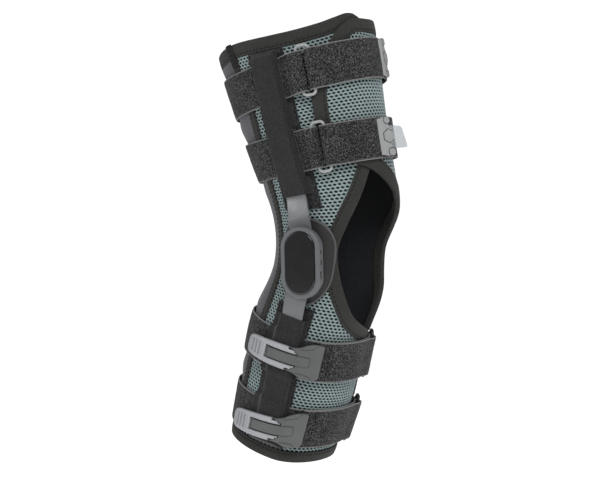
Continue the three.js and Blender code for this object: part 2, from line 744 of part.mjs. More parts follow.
// Everything that the hinge line carries. The inner side is the outer side seen in a mirror.
for (const [side, mirror] of [["outer", 1], ["inner", -1]]) {
  const half = new THREE.Group();
  half.name = side + "_hinge_line";
  half.scale.x = mirror;
  brace.add(half);
  for (const place of ["thigh", "calf"]) {
    const pocket = POCKETS[place];
    const start = HINGE_ALONG + Math.sign(pocket.open) * ARM_END_CLEARANCE;
    add(side + "_" + place + "_pocket_base", pocketBase(pocket), "pocket", half);
    add(side + "_" + place + "_arm", bar(pocket, ARM_BENDS[place], start), "arm", half);
    add(side + "_" + place + "_pocket_cover", pocketCover(pocket, ARM_BENDS[place]), "pocket", half);
  }
  add(side + "_condyle_pad", condylePad(), "pad", half);
  const hinge = new THREE.Group();
  hinge.name = side + "_hinge";
  const toFront = new THREE.Vector3(0, -1, 0);
  const up = new THREE.Vector3(0, 0, 1);
  const outside = new THREE.Vector3(-1, 0, 0);
  hinge.setRotationFromMatrix(new THREE.Matrix4().makeBasis(toFront, up, outside));
  hinge.rotateZ(HINGE_LEAN * DEGREE);
  hinge.position.set(0, HINGE_BACK, HINGE_ALONG);
  half.add(hinge);
  const plate = stadiumPlate(PLATE, PLATE_OUT, PLATE_OUT + PLATE.depth, 0);
  add(side + "_hinge_plate", plate, "housing", hinge);
  add(side + "_hinge_housing", housing(), "housing", hinge).position.z = ARM_OUT;
  const capFrom = ARM_OUT + HOUSING.depth - CAP.recess + GAP;
  const cap = stadiumPlate(CAP, capFrom, capFrom + CAP.depth, CAP.bevel);
  add(side + "_hinge_cap", cap, "cap", hinge);
}

// A closed line with two straight sides and two blunt round ends.
class RingLine extends THREE.Curve {
  constructor(halfWidth, halfLength) {
    super();
    this.halfWidth = halfWidth;
    this.halfLength = halfLength;
  }
  getPoint(t, target = new THREE.Vector3()) {
    const blunt = (x) => Math.sign(x) * Math.abs(x) ** RING_BLUNTNESS;
    const [c, s] = [Math.cos(2 * Math.PI * t), Math.sin(2 * Math.PI * t)];
    return target.set(this.halfWidth * blunt(c), this.halfLength * blunt(s), 0);
  }
}

// One strap: tail, fold over the ring's near bar, round the leg, fold over the far bar, free end.
const thighBed = lineThrough(THIGH_BED, "angle", "bed");
for (const strap of STRAPS) {
  const onThigh = strap.turn > 0;
  const bedAt = (angle) => (onThigh ? thighBed(angle) : STRAP_LIFT);
  const { perDegree } = frameAt(strap.mid, strap.ring, onThigh ? FLAP_BAND_BED + 2 : STRAP_LIFT + 4);
  const barAt = RING_BAR_SPACING / 2 / perDegree;
  const layer = STRAP / 2;
  const rise = onThigh ? 0 : CALF_RING_RISE;
  const far = bedAt(strap.ring - strap.turn * barAt) + layer + FOLD + rise;
  const near = onThigh ? far - THIGH_RING_STEP : far;
  const path = [];
  const go = (away, lift, taut = false) =>
    path.push({ angle: strap.ring + strap.turn * away, lift, taut });
  const fold = (away, lift, toward) => {
    for (const turn of [-60, -20, 20, 60]) {
      const c = FOLD * Math.cos(turn * DEGREE);
      go(away + (toward * c) / perDegree, lift + FOLD * Math.sin(turn * DEGREE), true);
    }
  };
  const bed = STRAP_LIFT + layer;
  go(14, bed);
  go(9.5, bed + (near - FOLD - bed) * 0.4);
  go(barAt, near - FOLD, true);
  fold(barAt, near, -1);
  go(barAt, near + FOLD, true);
  go(9.5, near + FOLD - 1.9);
  go(14, Math.max(bed + 2.3, near - 2));
  go(18.6, bed);
  const whole = 360;
  const farBar = whole - barAt;
  for (const away of steps(24, farBar - 11, 33)) {
    go(away, bedAt(strap.ring + strap.turn * (away - whole)) + layer);
  }
  go(farBar - 5, far - FOLD);
  go(farBar, far - FOLD, true);
  fold(farBar, far, 1);
  go(farBar, far + FOLD, true);
  const freeTurn = Math.abs(strap.end - strap.ring) - barAt;
  const second = STRAP + GAP + layer;
  go(farBar - 4.5, far + FOLD - 1);
  for (const away of steps(farBar - 10, farBar - freeTurn, Math.round(freeTurn / 8))) {
    go(away, bedAt(strap.ring + strap.turn * (away - whole)) + second);
  }
  const places = path.map((p) => {
    const middle = strapAlong(strap, p.angle);
    return { ...p, middle, at: onLeg(middle, p.angle, p.lift) };
  });
  const stations = places.map((p, k) => {
    const after = places[Math.min(places.length - 1, k + 1)];
    const before = places[Math.max(0, k - 1)];
    const ahead = after.at.clone().sub(p.at).normalize();
    const behind = p.at.clone().sub(before.at).normalize();
    const tangent = ahead.add(behind).normalize();
    const { up } = frameAt(p.middle, p.angle, p.lift);
    const normal = new THREE.Vector3().crossVectors(tangent, up).normalize();
    const edge = (sign, lift) => {
      const across = (sign * STRAP_WIDTH) / 2;
      const straight = p.at.clone().addScaledVector(up, across);
      const laid = p.taut ? straight : onLeg(p.middle + across, p.angle, p.lift);
      return laid.addScaledVector(normal, lift);
    };
    return { outer: [edge(-1, layer), edge(1, layer)], inner: [edge(-1, -layer), edge(1, -layer)] };
  });
  add(strap.name, thickSheet(stations), "strap");

  // The ring, tilted so that each bar lies in its fold.
  const frame = frameAt(strapAlong(strap, strap.ring), strap.ring, near);
  const ring = new THREE.Group();
  ring.name = strap.name + "_ring_seat";
  ring.setRotationFromMatrix(new THREE.Matrix4().makeBasis(frame.round, frame.up, frame.out.clone()));
  const flatSag = (RING_BAR_SPACING / 2) ** 2 / (2 * perDegree / DEGREE);
  const seat = onLeg(strapAlong(strap, strap.ring), strap.ring, (near + far) / 2 - flatSag);
  ring.position.copy(seat);
  const hand = Math.sign(new THREE.Vector3().crossVectors(frame.round, frame.up).dot(frame.out));
  if (hand < 0) {
    const round = frame.round.clone().negate();
    ring.setRotationFromMatrix(new THREE.Matrix4().makeBasis(round, frame.up, frame.out));
  }
  const toNear = strap.turn * hand;
  ring.rotateY(Math.atan2(far - near, RING_BAR_SPACING) * toNear);
  brace.add(ring);
  const loop = new RingLine(
    RING_BAR_SPACING / 2,
    STRAP_WIDTH / 2 + RING_END_CLEARANCE + RING_BAR,
  );
  add(strap.name + "_ring", new THREE.TubeGeometry(loop, 24, RING_BAR, 6, true), "ring", ring);

  if (onThigh) {
    // Tab plate and clear pull beyond the strap's free end.
    const edgeDegree = frameAt(strap.mid, strap.end, FLAP_BED).perDegree;
    const place = (run) => strap.end - (run + GAP) / edgeDegree;
    const base = bedAt(strap.end) + STRAP + GAP;
    const raised = base + PULL.thick + GAP;
    const row = (run, half, inner, outer) => {
      const angle = place(run);
      const middle = strapAlong(strap, angle);
      const at = (lift) => [-1, 0, 1].map((sign) => onLeg(middle + sign * half, angle, lift));
      return { outer: at(outer), inner: at(inner) };
    };
    const plateRows = [
      row(0, TAB.half - 0.6, base, base + TAB.thick + 0.4),
      row(TAB.foot - 0.6, TAB.half, base, raised + TAB.thick),
      row(TAB.foot, TAB.half, raised, raised + TAB.thick),
      row(TAB.length * 0.6, TAB.half, raised, raised + TAB.thick),
      row(TAB.length * 0.85, TAB.half - 1.5, raised, raised + TAB.thick),
      row(TAB.length, TAB.half - 5, raised, raised + TAB.thick - 0.3),
    ];
    add(strap.name + "_tab", thickSheet(plateRows), "tab");
    const pullRows = [0, 0.3, 0.6, 0.85, 0.96, 1].map((part) => {
      const run = PULL.start + part * PULL.length;
      const half = PULL.half - (part > 0.9 ? 3.5 * (part - 0.85) * 6.6 : 1.5 * part);
      const spring = PULL.spring * Math.max(0, part - 0.45) ** 2 * 3;
      return row(run, half, base + spring, base + PULL.thick + spring);
    });
    add(strap.name + "_pull", thickSheet(pullRows), "pull");
  } else {
    // Buckle body with its tongue, and the forked grip round the tongue.
    const lift = lineThrough(BUCKLE_LIFT, "part", "lift");
    const droop = BUCKLE_DROOP[strap.name];
    const row = (part, half, thick, sink = 0) => {
      const angle = BUCKLE_SPAN.strap + part * (BUCKLE_SPAN.tip - BUCKLE_SPAN.strap);
      const middle = strapAlong(strap, angle) - droop * part;
      const at = (up) => [-1, 0, 1].map((sign) => onLeg(middle + sign * half, angle, lift(part) + up));
      return { outer: at(thick + sink), inner: at(-sink) };
    };
    const body = BUCKLE_BODY.map((r) => row(r.part, r.half, BUCKLE_THICK.body));
    add(strap.name + "_buckle", thickSheet(body), "buckle");
    const grip = BUCKLE_GRIP.map((r) => row(r.part, r.half, BUCKLE_THICK.grip));
    const slotParts = [0.3, 0.365, 0.5, 0.65, GRIP_SLOT.end];
    const slot = slotParts.map((part) => row(part, GRIP_SLOT.half, BUCKLE_THICK.grip, 1));
    const fork = solidOf(thickSheet(grip)).subtract(solidOf(thickSheet(slot)));
    add(strap.name + "_grip", geometryOf(fork), "grip");
  }
}

export default brace;
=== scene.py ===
import math

import bmesh
import bpy
import numpy as np
from mathutils import Matrix


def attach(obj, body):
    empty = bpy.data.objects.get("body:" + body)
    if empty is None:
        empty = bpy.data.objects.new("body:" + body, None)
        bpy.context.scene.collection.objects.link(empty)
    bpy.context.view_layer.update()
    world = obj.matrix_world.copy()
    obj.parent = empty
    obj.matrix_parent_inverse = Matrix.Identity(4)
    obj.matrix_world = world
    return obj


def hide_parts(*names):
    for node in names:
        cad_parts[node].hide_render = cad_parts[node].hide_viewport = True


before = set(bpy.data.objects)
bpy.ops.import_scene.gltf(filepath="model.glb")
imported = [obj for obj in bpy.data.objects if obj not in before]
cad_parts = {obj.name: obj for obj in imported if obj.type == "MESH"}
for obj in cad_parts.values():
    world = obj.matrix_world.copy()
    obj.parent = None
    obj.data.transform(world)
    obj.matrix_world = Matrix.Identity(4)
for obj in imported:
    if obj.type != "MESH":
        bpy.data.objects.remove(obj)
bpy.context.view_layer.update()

scene = bpy.context.scene


# Camera. It stands a little above the knee's level and in front of the leg's outer side, with a long lens.
# Its aim is beside the knee's middle, so that the brace lies in the picture where the photo has it.
PICTURE = {"width": 600, "mm_per_pixel": 0.95, "sensor": 36}
EYE = {"azimuth": -65, "elevation": 4, "distance": 1800, "right": -37, "up": 6}
azimuth, elevation = np.radians([EYE["azimuth"], EYE["elevation"]])
toward_eye = np.array([
    np.sin(azimuth) * np.cos(elevation),
    -np.cos(azimuth) * np.cos(elevation),
    np.sin(elevation),
])
eye_right = np.array([np.cos(azimuth), np.sin(azimuth), 0.0])
eye_up = np.cross(toward_eye, eye_right)
eye_shift = (EYE["right"] * eye_right + EYE["up"] * eye_up) * PICTURE["mm_per_pixel"]
eye_place = (toward_eye * EYE["distance"] + eye_shift) / 1000


def standing(right, up, back, place):
    """The matrix of a camera or lamp at a place in metres, from its three directions."""
    turn = np.eye(4)
    turn[:3] = np.stack([right, up, back, place], axis=1)
    return Matrix(turn.tolist())


lens = bpy.data.cameras.new("photo_view")
lens.sensor_width = PICTURE["sensor"]
lens.lens = lens.sensor_width * EYE["distance"] / (PICTURE["width"] * PICTURE["mm_per_pixel"])
camera = bpy.data.objects.new("photo_view", lens)
scene.collection.objects.link(camera)
camera.matrix_world = standing(eye_right, eye_up, toward_eye, eye_place)
scene.camera = camera


# Outer side panel. Spacer cloth: a dark inner lining with an open teal-grey net knitted on its outside.
# Cut with a curve round the kneecap and sewn to the back panel and, below the knee, to the inner panel.
THIGH_LEAN, CALF_LEAN, BEND_LENGTH = 12, 15, 150
TOP, BOTTOM, FRONT_RISE, BACK_RISE, TRIM_START = 204, -206, 6, 5, 120
LEG_SECTIONS = np.array([  # along, front, back, side
    [-220, 29, 61, 49],
    [-140, 36, 66, 54],
    [-80, 34, 68, 54],
    [-20, 49, 55, 54],
    [30, 56, 56, 55],
    [90, 56, 68, 61],
    [160, 60, 79, 68],
    [230, 61, 87, 74],
], float)
BACK_SEAM = np.array([  # along, angle
    [-205, 140],
    [-130, 138],
    [-80, 132],
    [-30, 133],
    [15, 133],
    [55, 132],
    [110, 125],
    [150, 123],
    [205, 127],
], float)
OUTER_EDGE = np.array([  # along, angle
    [TOP, 17], [200.5, 9.5], [190, 6.5], [150, 7], [100, 9], [82, 17], [65, 30], [47, 42], [22, 58],
    [0, 66], [-24, 60], [-44, 46], [-55.5, 33], [-62, 20], [-66.5, 7], [-70.5, -7], [-74, -20], [-77, -30],
], float)
TOP_EDGE = np.array([  # angle, rise
    [-180, -8], [-125, -4], [-75, -4.5], [-25, -2.5], [5, 1.5], [22, 4.8], [34, 2.2], [50, -1.6],
    [70, -4], [90, -4.2], [125, -2.7], [155, -7.2], [180, -8],
], float)
CALF_SEAM, SEAM_GAP = -30, 1.2
LINING, CLOTH_LIFT = 1.25, 2.0
DEGREE = 1.1  # millimetres taken for a degree where a path is smoothed
NET = {"across": 4.55, "up": 3.0, "corner": 1.0, "start": 2}
NET_MIDDLE = {"outer": 80, "inner": -40}  # angle that each net is laid out from
NET_LIFT = {"crest": 2.4, "rim": 2.2, "hole": 1.3}
# painted shade in the net: a little on the slopes into each hole, full on the hole's floor
NET_PAINTED_SHADE = {"crest": 0.0, "rim": 0.12, "hole": 1.0}
NET_OPENING = {  # half width, half height at the points and at the flanks, skew
    "rim": (1.75, 1.2, 0.5, 0.25),
    "hole": (1.5, 0.98, 0.36, 0.2),
}
NET_ROOM = {"seam": 0.3, "end": 4, "free_edge": 4.2}
NET_TABLE = {"rows": 135, "turn": 190, "width": 210, "cells": 38}  # how far the flat net reaches each way


def smooth_step(x, low, high):
    """0 before low, 1 after high, and 3t^2 - 2t^3 between."""
    t = np.clip((x - low) / (high - low), 0, 1)
    return t * t * (3 - 2 * t)


def curve_through(table, column):
    """Cubic pieces through a table's rows; each slope is the difference of the row's neighbours."""
    x, y = table[:, 0], table[:, column]
    slope = np.gradient(y)
    slope[1:-1] = (y[2:] - y[:-2]) / (x[2:] - x[:-2])
    slope[0], slope[-1] = (y[1] - y[0]) / (x[1] - x[0]), (y[-1] - y[-2]) / (x[-1] - x[-2])

    def at(q):
        """The curve's height at q, held at its end rows' heights outside the table."""
        k = np.clip(np.searchsorted(x, q, side="right"), 1, len(x) - 1)
        h = x[k] - x[k - 1]
        t = np.clip((q - x[k - 1]) / h, 0, 1)
        start = (2 * t**3 - 3 * t**2 + 1) * y[k - 1] + (t**3 - 2 * t**2 + t) * h * slope[k - 1]
        return start + (3 * t**2 - 2 * t**3) * y[k] + (t**3 - t**2) * h * slope[k]

    return at


front_depth, back_depth, side_width = (curve_through(LEG_SECTIONS, c) for c in (1, 2, 3))
back_seam = curve_through(BACK_SEAM, 1)
top_rise = curve_through(TOP_EDGE, 1)


def on_leg(along, angle, lift):
    """A point of the worn shape: two half ellipses on an axis that bends in a circle at the knee,
    moved out by the lift along the ellipse's normal. Angle 0 is the front and 90 the outer side."""
    along, angle, lift = np.broadcast_arrays(*(np.asarray(v, float) for v in (along, angle, lift)))
    radius = BEND_LENGTH / math.radians(THIGH_LEAN + CALF_LEAN)
    middle = math.radians(THIGH_LEAN - CALF_LEAN) / 2
    bend = np.clip(along, -BEND_LENGTH / 2, BEND_LENGTH / 2)
    lean, over = middle + bend / radius, along - bend
    y = radius * (math.cos(middle) - np.cos(lean)) + over * np.sin(lean)
    z = radius * (np.sin(lean) - math.sin(middle)) + over * np.cos(lean)
    c, s = np.cos(np.radians(angle)), np.sin(np.radians(angle))
    depth = np.where(c > 0, front_depth(along), back_depth(along))
    width = side_width(along)
    n = np.hypot(c / depth, s / width)
    front = depth * c + lift * c / depth / n
    side = width * s + lift * s / width / n
    return np.stack([-side, y - front * np.cos(lean), z + front * np.sin(lean)], axis=-1)


def per_degree(along, angle, lift=CLOTH_LIFT):
    """Millimetres round the leg in one degree, from two points half a degree apart."""
    step = on_leg(along, angle + 0.25, lift) - on_leg(along, angle - 0.25, lift)
    return 2 * np.linalg.norm(step, axis=-1)


def trim(along, angle):
    """Shapes the sleeve's ends: the top dips at the sides and back, the bottom rises at front and back."""
    c = np.cos(np.radians(angle))
    high = np.clip((along - TRIM_START) / (TOP - TRIM_START), 0, 1)
    low = np.clip((-along - TRIM_START) / (-BOTTOM - TRIM_START), 0, 1)
    top = top_rise((np.asarray(angle) + 180) % 360 - 180)
    bottom = FRONT_RISE * ((1 + c) / 2) ** 2 + BACK_RISE * ((1 - c) / 2) ** 2
    return along + top * high + bottom * low


def run_along(line):
    """Distance from a line's first point to each of its points."""
    return np.concatenate([[0], np.cumsum(np.linalg.norm(np.diff(line, axis=0), axis=1))])


def smooth_line(p, spacing, steps=40):
    """Centripetal Catmull-Rom curve through rows of any length, at even steps of about the spacing."""
    p = np.concatenate([[2 * p[0] - p[1]], p, [2 * p[-1] - p[-2]]])
    d = np.sqrt(np.linalg.norm(np.diff(p, axis=0), axis=1))[:, None]
    d0, d1, d2 = d[:-2], d[1:-1], d[2:]
    a, b = p[1:-2], p[2:-1]
    ta = ((a - p[:-3]) / d0 - (b - p[:-3]) / (d0 + d1) + (b - a) / d1) * d1
    tb = ((b - a) / d1 - (p[3:] - a) / (d1 + d2) + (p[3:] - b) / d2) * d1
    t = np.linspace(0, 1, steps, endpoint=False)[None, :, None]
    a, b, ta, tb = (v[:, None, :] for v in (a, b, ta, tb))
    line = (2 * t**3 - 3 * t**2 + 1) * a + (t**3 - 2 * t**2 + t) * ta
    line = line + (3 * t**2 - 2 * t**3) * b + (t**3 - t**2) * tb
    line = np.concatenate([line.reshape(-1, p.shape[1]), p[-2:-1]])
    run = run_along(line)
    even = np.linspace(0, run[-1], int(run[-1] / spacing) + 1)
    return np.stack([np.interp(even, run, column) for column in line.T], axis=1)


def edge_path(rows, spacing=2.0):
    """A smooth path through (along, angle) rows."""
    return (smooth_line(rows[:, ::-1] * [DEGREE, 1], spacing) / [DEGREE, 1])[:, ::-1]


def grid_faces(rows, columns, round_rows=False, round_columns=False):
    """The four-cornered faces of a grid of points, joined up where the grid goes right round."""
    r = np.arange(rows if round_rows else rows - 1)[:, None]
    c = np.arange(columns if round_columns else columns - 1)[None, :]
    r1, c1 = (r + 1) % rows, (c + 1) % columns
    corners = [r * columns + c, r * columns + c1, r1 * columns + c1, r1 * columns + c]
    return np.stack(np.broadcast_arrays(*corners), axis=-1).reshape(-1, 4)


def thick_sheet(outer, inner, closed=False):
    """A closed wall between two grids of points: both faces, both long edges and the two ends."""
    stations, count = outer.shape[:2]
    loop = np.concatenate([outer, inner[:, ::-1]], axis=1)
    quads = [grid_faces(stations, 2 * count, closed, True)]
    if not closed:
        k = np.arange(count - 1)
        first = np.stack([k, 2 * count - 1 - k, 2 * count - 2 - k, k + 1], axis=1)
        last = first[:, ::-1] + (stations - 1) * 2 * count
        quads += [first, last]
    return outward(loop.reshape(-1, 3), np.concatenate(quads))


def outward(points, quads):
    """Turns a closed patch's faces outward, by the sign of its volume."""
    a, b, c, d = (points[quads[:, k]] for k in range(4))
    volume = (a * np.cross(b, c)).sum() + (a * np.cross(c, d)).sum()
    return points, (quads[:, ::-1] if volume < 0 else quads)


def make_piece(name, patches, material, stands_for=(), marks=None):
    """One mesh in metres from patches of points in millimetres and rows of corner numbers.
    marks holds one number for each point, which the material reads as the attribute of that name."""
    points = np.concatenate([p[0] for p in patches])
    starts = np.cumsum([0] + [len(p[0]) for p in patches])
    rows = [faces + start for (_, *sets), start in zip(patches, starts) for faces in sets]
    corners = np.concatenate([r.ravel() for r in rows]).astype(np.int32)
    sizes = np.concatenate([np.full(len(r), r.shape[1]) for r in rows])
    mesh = bpy.data.meshes.new(name)
    mesh.vertices.add(len(points))
    mesh.vertices.foreach_set("co", (points / 1000).astype(np.float32).ravel())
    mesh.loops.add(len(corners))
    mesh.loops.foreach_set("vertex_index", corners)
    mesh.polygons.add(len(sizes))
    mesh.polygons.foreach_set("loop_start", np.concatenate([[0], np.cumsum(sizes)[:-1]]).astype(np.int32))
    mesh.update(calc_edges=True)
    mesh.polygons.foreach_set("use_smooth", np.ones(len(sizes), bool))
    for key, values in (marks or {}).items():
        mesh.attributes.new(key, "FLOAT", "POINT").data.foreach_set("value", values.astype(np.float32))
    mesh.validate()
    mesh.materials.append(material)
    piece = bpy.data.objects.new(name, mesh)
    scene.collection.objects.link(piece)
    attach(piece, "root")
    if stands_for:
        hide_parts(*stands_for)
    return piece


def shader_group(name, inputs, outputs):
    """An empty shader node group with named sockets; returns its tree and its input and output nodes."""
    tree = bpy.data.node_groups.new(name, "ShaderNodeTree")
    for label, kind, value in inputs:
        tree.interface.new_socket(label, in_out="INPUT", socket_type=kind).default_value = value
    for label, kind in outputs:
        tree.interface.new_socket(label, in_out="OUTPUT", socket_type=kind)
    return tree, tree.nodes.new("NodeGroupInput"), tree.nodes.new("NodeGroupOutput")


def add_node(tree, kind, links=(), **values):
    """A node with its own values and inputs; links are pairs of an input and a socket or a plain value."""
    node = tree.nodes.new(kind)
    for key, value in values.items():
        setattr(node, key, value)
    for key, source in links:
        if hasattr(source, "is_output"):
            tree.links.new(source, node.inputs[key])
        else:
            node.inputs[key].default_value = source
    return node


def mix_colour(tree, share, first, second):
    """Colour mix of two colours by a share from 0 to 1; returns the result socket."""
    return add_node(tree, "ShaderNodeMix", [(0, share), (6, first), (7, second)], data_type="RGBA").outputs[2]


# Thread fleck: short bright thread ends on a dark ground, in clumps, with a slow drift of tone.
fleck_group, fleck_in, fleck_out = shader_group(
    "thread_fleck",
    [
        ("Place", "NodeSocketVector", (0, 0, 0)),
        ("Ground", "NodeSocketColor", (0.02, 0.02, 0.02, 1)),
        ("Fleck", "NodeSocketColor", (0.1, 0.1, 0.1, 1)),
        ("Per Metre", "NodeSocketFloat", 900.0),
        ("Amount", "NodeSocketFloat", 0.6),
    ],
    [("Colour", "NodeSocketColor"), ("Height", "NodeSocketFloat")],
)
fine = add_node(fleck_group, "ShaderNodeTexNoise", [
    ("Vector", fleck_in.outputs["Place"]),
    ("Scale", fleck_in.outputs["Per Metre"]),
    ("Detail", 2.0),
    ("Roughness", 0.65),
])
drift = add_node(fleck_group, "ShaderNodeTexNoise", [
    ("Vector", fleck_in.outputs["Place"]), ("Scale", 45.0), ("Detail", 3.0), ("Roughness", 0.6),
])
flecks = add_node(fleck_group, "ShaderNodeMapRange", [
    ("Value", fine.outputs["Fac"]), ("From Min", 0.46), ("From Max", 0.72),
])
tone = add_node(fleck_group, "ShaderNodeMapRange", [
    ("Value", drift.outputs["Fac"]), ("From Min", 0.3), ("From Max", 0.7), ("To Min", 0.7), ("To Max", 1.1),
])
share = add_node(fleck_group, "ShaderNodeMath", [
    (0, flecks.outputs["Result"]), (1, fleck_in.outputs["Amount"]),
], operation="MULTIPLY")
shade = add_node(fleck_group, "ShaderNodeMath", [
    (0, share.outputs[0]), (1, tone.outputs["Result"]),
], operation="MULTIPLY")
fleck_mix = mix_colour(fleck_group, shade.outputs[0], fleck_in.outputs["Ground"], fleck_in.outputs["Fleck"])
fleck_group.links.new(fleck_mix, fleck_out.inputs["Colour"])
fleck_group.links.new(fine.outputs["Fac"], fleck_out.inputs["Height"])


def grouped_finish(name, group, inputs, relief, plain, mark=None):
    """A material whose colour and bump come from a node group on Object coordinates. inputs are set on the
    group, plain values on the shader; relief is the bump's strength and distance in metres. A mark is an
    attribute's name and the colour that takes over where the attribute is 1."""
    material = bpy.data.materials.new(name)
    material.use_nodes = True
    tree = material.node_tree
    shader = tree.nodes["Principled BSDF"]
    place = add_node(tree, "ShaderNodeTexCoord")
    surface = add_node(tree, "ShaderNodeGroup", node_tree=group)
    tree.links.new(place.outputs["Object"], surface.inputs["Place"])
    for socket, value in inputs.items():
        surface.inputs[socket].default_value = value
    colour = surface.outputs["Colour"]
    if mark:
        spot = add_node(tree, "ShaderNodeAttribute", attribute_name=mark[0])
        colour = mix_colour(tree, spot.outputs["Fac"], colour, (*mark[1], 1))
    tree.links.new(colour, shader.inputs["Base Color"])
    if "Roughness" in surface.outputs:
        tree.links.new(surface.outputs["Roughness"], shader.inputs["Roughness"])
    bump = add_node(tree, "ShaderNodeBump", [
        ("Height", surface.outputs["Height"]), ("Strength", relief[0]), ("Distance", relief[1]),
    ])
    tree.links.new(bump.outputs["Normal"], shader.inputs["Normal"])
    for socket, value in plain.items():
        shader.inputs[socket].default_value = value
    return material


def fleck_material(name, ground, fleck, per_metre, amount, bump, roughness=0.9, sheen=0.0, mark=None):
    """A cloth finish: thread flecks in colour and bump, little shine and where asked some sheen."""
    return grouped_finish(
        name, fleck_group,
        {"Ground": (*ground, 1), "Fleck": (*fleck, 1), "Per Metre": per_metre, "Amount": amount},
        (0.7, bump),
        {"Roughness": roughness, "Specular IOR Level": 0.15, "Sheen Weight": sheen, "Sheen Roughness": 0.5},
        mark,
    )


lining_cloth = fleck_material(
    "lining_cloth", (0.017, 0.018, 0.02), (0.05, 0.052, 0.055), per_metre=1400, amount=0.6, bump=0.0003,
)
# The hole mark paints shade into the net's holes, near black and darker than the lining under them.
net_cloth = fleck_material(
    "net_cloth", (0.185, 0.235, 0.238), (0.33, 0.4, 0.402), per_metre=1500, amount=0.8, bump=0.0002,
    roughness=0.85, sheen=0.1, mark=("hole", (0.006, 0.007, 0.008)),
)


def panel_grid(low_angle, high_angle, lift, columns=46, spacing=3.0):
    """Rows down the leg, each an even run of angles between two edges; returns the grid of points."""
    along = np.linspace(TOP, BOTTOM, int((TOP - BOTTOM) / spacing) + 1)[:, None]
    share = np.linspace(0, 1, columns)[None, :]
    angle = low_angle(along) + (high_angle(along) - low_angle(along)) * share
    return on_leg(trim(along, angle), angle, lift(angle))


def net_patch(low_angle, high_angle, bed, middle_angle, free_edge):
    """Staggered six-sided cells laid flat on the panel. Each cell falls from its crest to a lens-shaped
    hole and the hole's floor. A cell is kept where its middle lies inside the panel's edges. Also returns a
    mark of painted shade for each point: a little on the slopes, full on the holes' floors."""
    across, up, corner = NET["across"], NET["up"], NET["corner"]
    # Flat width against angle, row by row, for the flat net to be bent round the leg.
    turn, reach = NET_TABLE["turn"], NET_TABLE["width"]
    v_table = np.linspace(BOTTOM, TOP, NET_TABLE["rows"])
    angles = middle_angle + np.linspace(-turn, turn, 2 * turn + 1)
    lines = on_leg(v_table[:, None], angles[None, :], CLOTH_LIFT)
    width = np.cumsum(np.linalg.norm(np.diff(lines, axis=1), axis=2), axis=1)
    width = np.concatenate([np.zeros((len(v_table), 1)), width], axis=1)
    width -= width[:, [turn]]
    u_table = np.linspace(-reach, reach, 2 * reach + 1)
    table = np.stack([np.interp(u_table, w, angles) for w in width])

    def angle_at(u, v):
        """The table read between its rows and columns."""
        row = np.clip((v - BOTTOM) / (TOP - BOTTOM) * (len(v_table) - 1), 0, len(v_table) - 1.001)
        column = np.clip(u + reach, 0, len(u_table) - 1.001)
        r, c = row.astype(int), column.astype(int)
        a, b = row - r, column - c
        low = table[r, c] * (1 - b) + table[r, c + 1] * b
        return low * (1 - a) + (table[r + 1, c] * (1 - b) + table[r + 1, c + 1] * b) * a

    cells = np.arange(-NET_TABLE["cells"], NET_TABLE["cells"] + 1)
    j, i = np.meshgrid(np.arange(int((TOP - BOTTOM) / up)), cells, indexing="ij")
    u = ((i + 0.5 * (j % 2)) * across).ravel()
    v = (BOTTOM + NET["start"] + j * up).ravel()
    angle = angle_at(u, v)
    size = per_degree(v, angle)
    inside = np.minimum((angle - low_angle(v)) * size, (high_angle(v) - angle) * size) > NET_ROOM["seam"]
    inside &= (v < TOP - NET_ROOM["end"]) & (v > BOTTOM + NET_ROOM["end"])
    edge = on_leg(trim(*free_edge.T), free_edge[:, 1], CLOTH_LIFT)
    middles = on_leg(trim(v, angle), angle, CLOTH_LIFT)
    keep = np.flatnonzero(inside)
    gap = np.linalg.norm(middles[keep, None, :] - edge[None, ::2, :], axis=2).min(axis=1)
    keep = keep[gap > NET_ROOM["free_edge"]]
    u, v = u[keep, None], v[keep, None]
    side = np.array([0, 1, 1, 0, -1, -1])
    tall = np.array([1, 1, -1, -1, -1, 1])
    point = side == 0
    outlines = [(across / 2, up - corner, corner, 0.0), NET_OPENING["rim"], NET_OPENING["hole"]]
    flat_u = np.concatenate([(u + side * wide + skew * tall).ravel() for wide, _, _, skew in outlines])
    flat_v = np.concatenate([(v + tall * np.where(point, tip, low)).ravel() for _, tip, low, _ in outlines])
    count = len(keep) * len(side)
    lift = np.repeat(list(NET_LIFT.values()), count)
    # painted shade for each ring of a cell: none at the crest, a little on the slope, full on the floor
    mark = np.repeat(list(NET_PAINTED_SHADE.values()), count)
    key = np.round(np.stack([flat_u, flat_v, lift], axis=1) * 100).astype(np.int64)
    _, first, new = np.unique(key, axis=0, return_index=True, return_inverse=True)
    new = new.ravel()
    a = angle_at(flat_u, flat_v)
    points = on_leg(trim(flat_v, a), a, lift + bed(a))[first]
    ring = np.arange(count).reshape(-1, len(side))
    after = np.roll(ring, -1, axis=1)
    slope = np.stack([ring, after, after + count, ring + count], axis=-1).reshape(-1, 4)
    wall = slope + count
    return (points, new[np.concatenate([slope, wall])], new[ring + 2 * count]), mark[first]


def no_bed(angle):
    """Lies straight on the leg."""
    return 0 * angle


outer_path = edge_path(OUTER_EDGE)


def outer_front(along):
    """The outer panel's front edge: its free edge down to the kneecap opening's foot, then the calf seam."""
    free = np.interp(along, outer_path[::-1, 0], outer_path[::-1, 1])
    return np.where(along < OUTER_EDGE[-1, 0], CALF_SEAM, free)


def outer_back(along):
    """The outer panel's back edge, half a gap short of the seam."""
    return back_seam(along) - SEAM_GAP / 2


outer_panel = make_piece(
    "outer_panel_lining",
    [thick_sheet(
        panel_grid(outer_front, outer_back, lambda a: 0 * a + LINING),
        panel_grid(outer_front, outer_back, no_bed),
    )],
    lining_cloth, ["outer_panel"],
)
net, hole_shade = net_patch(outer_front, outer_back, no_bed, NET_MIDDLE["outer"], outer_path)
outer_net = make_piece("outer_net", [net], net_cloth, marks={"hole": hole_shade})


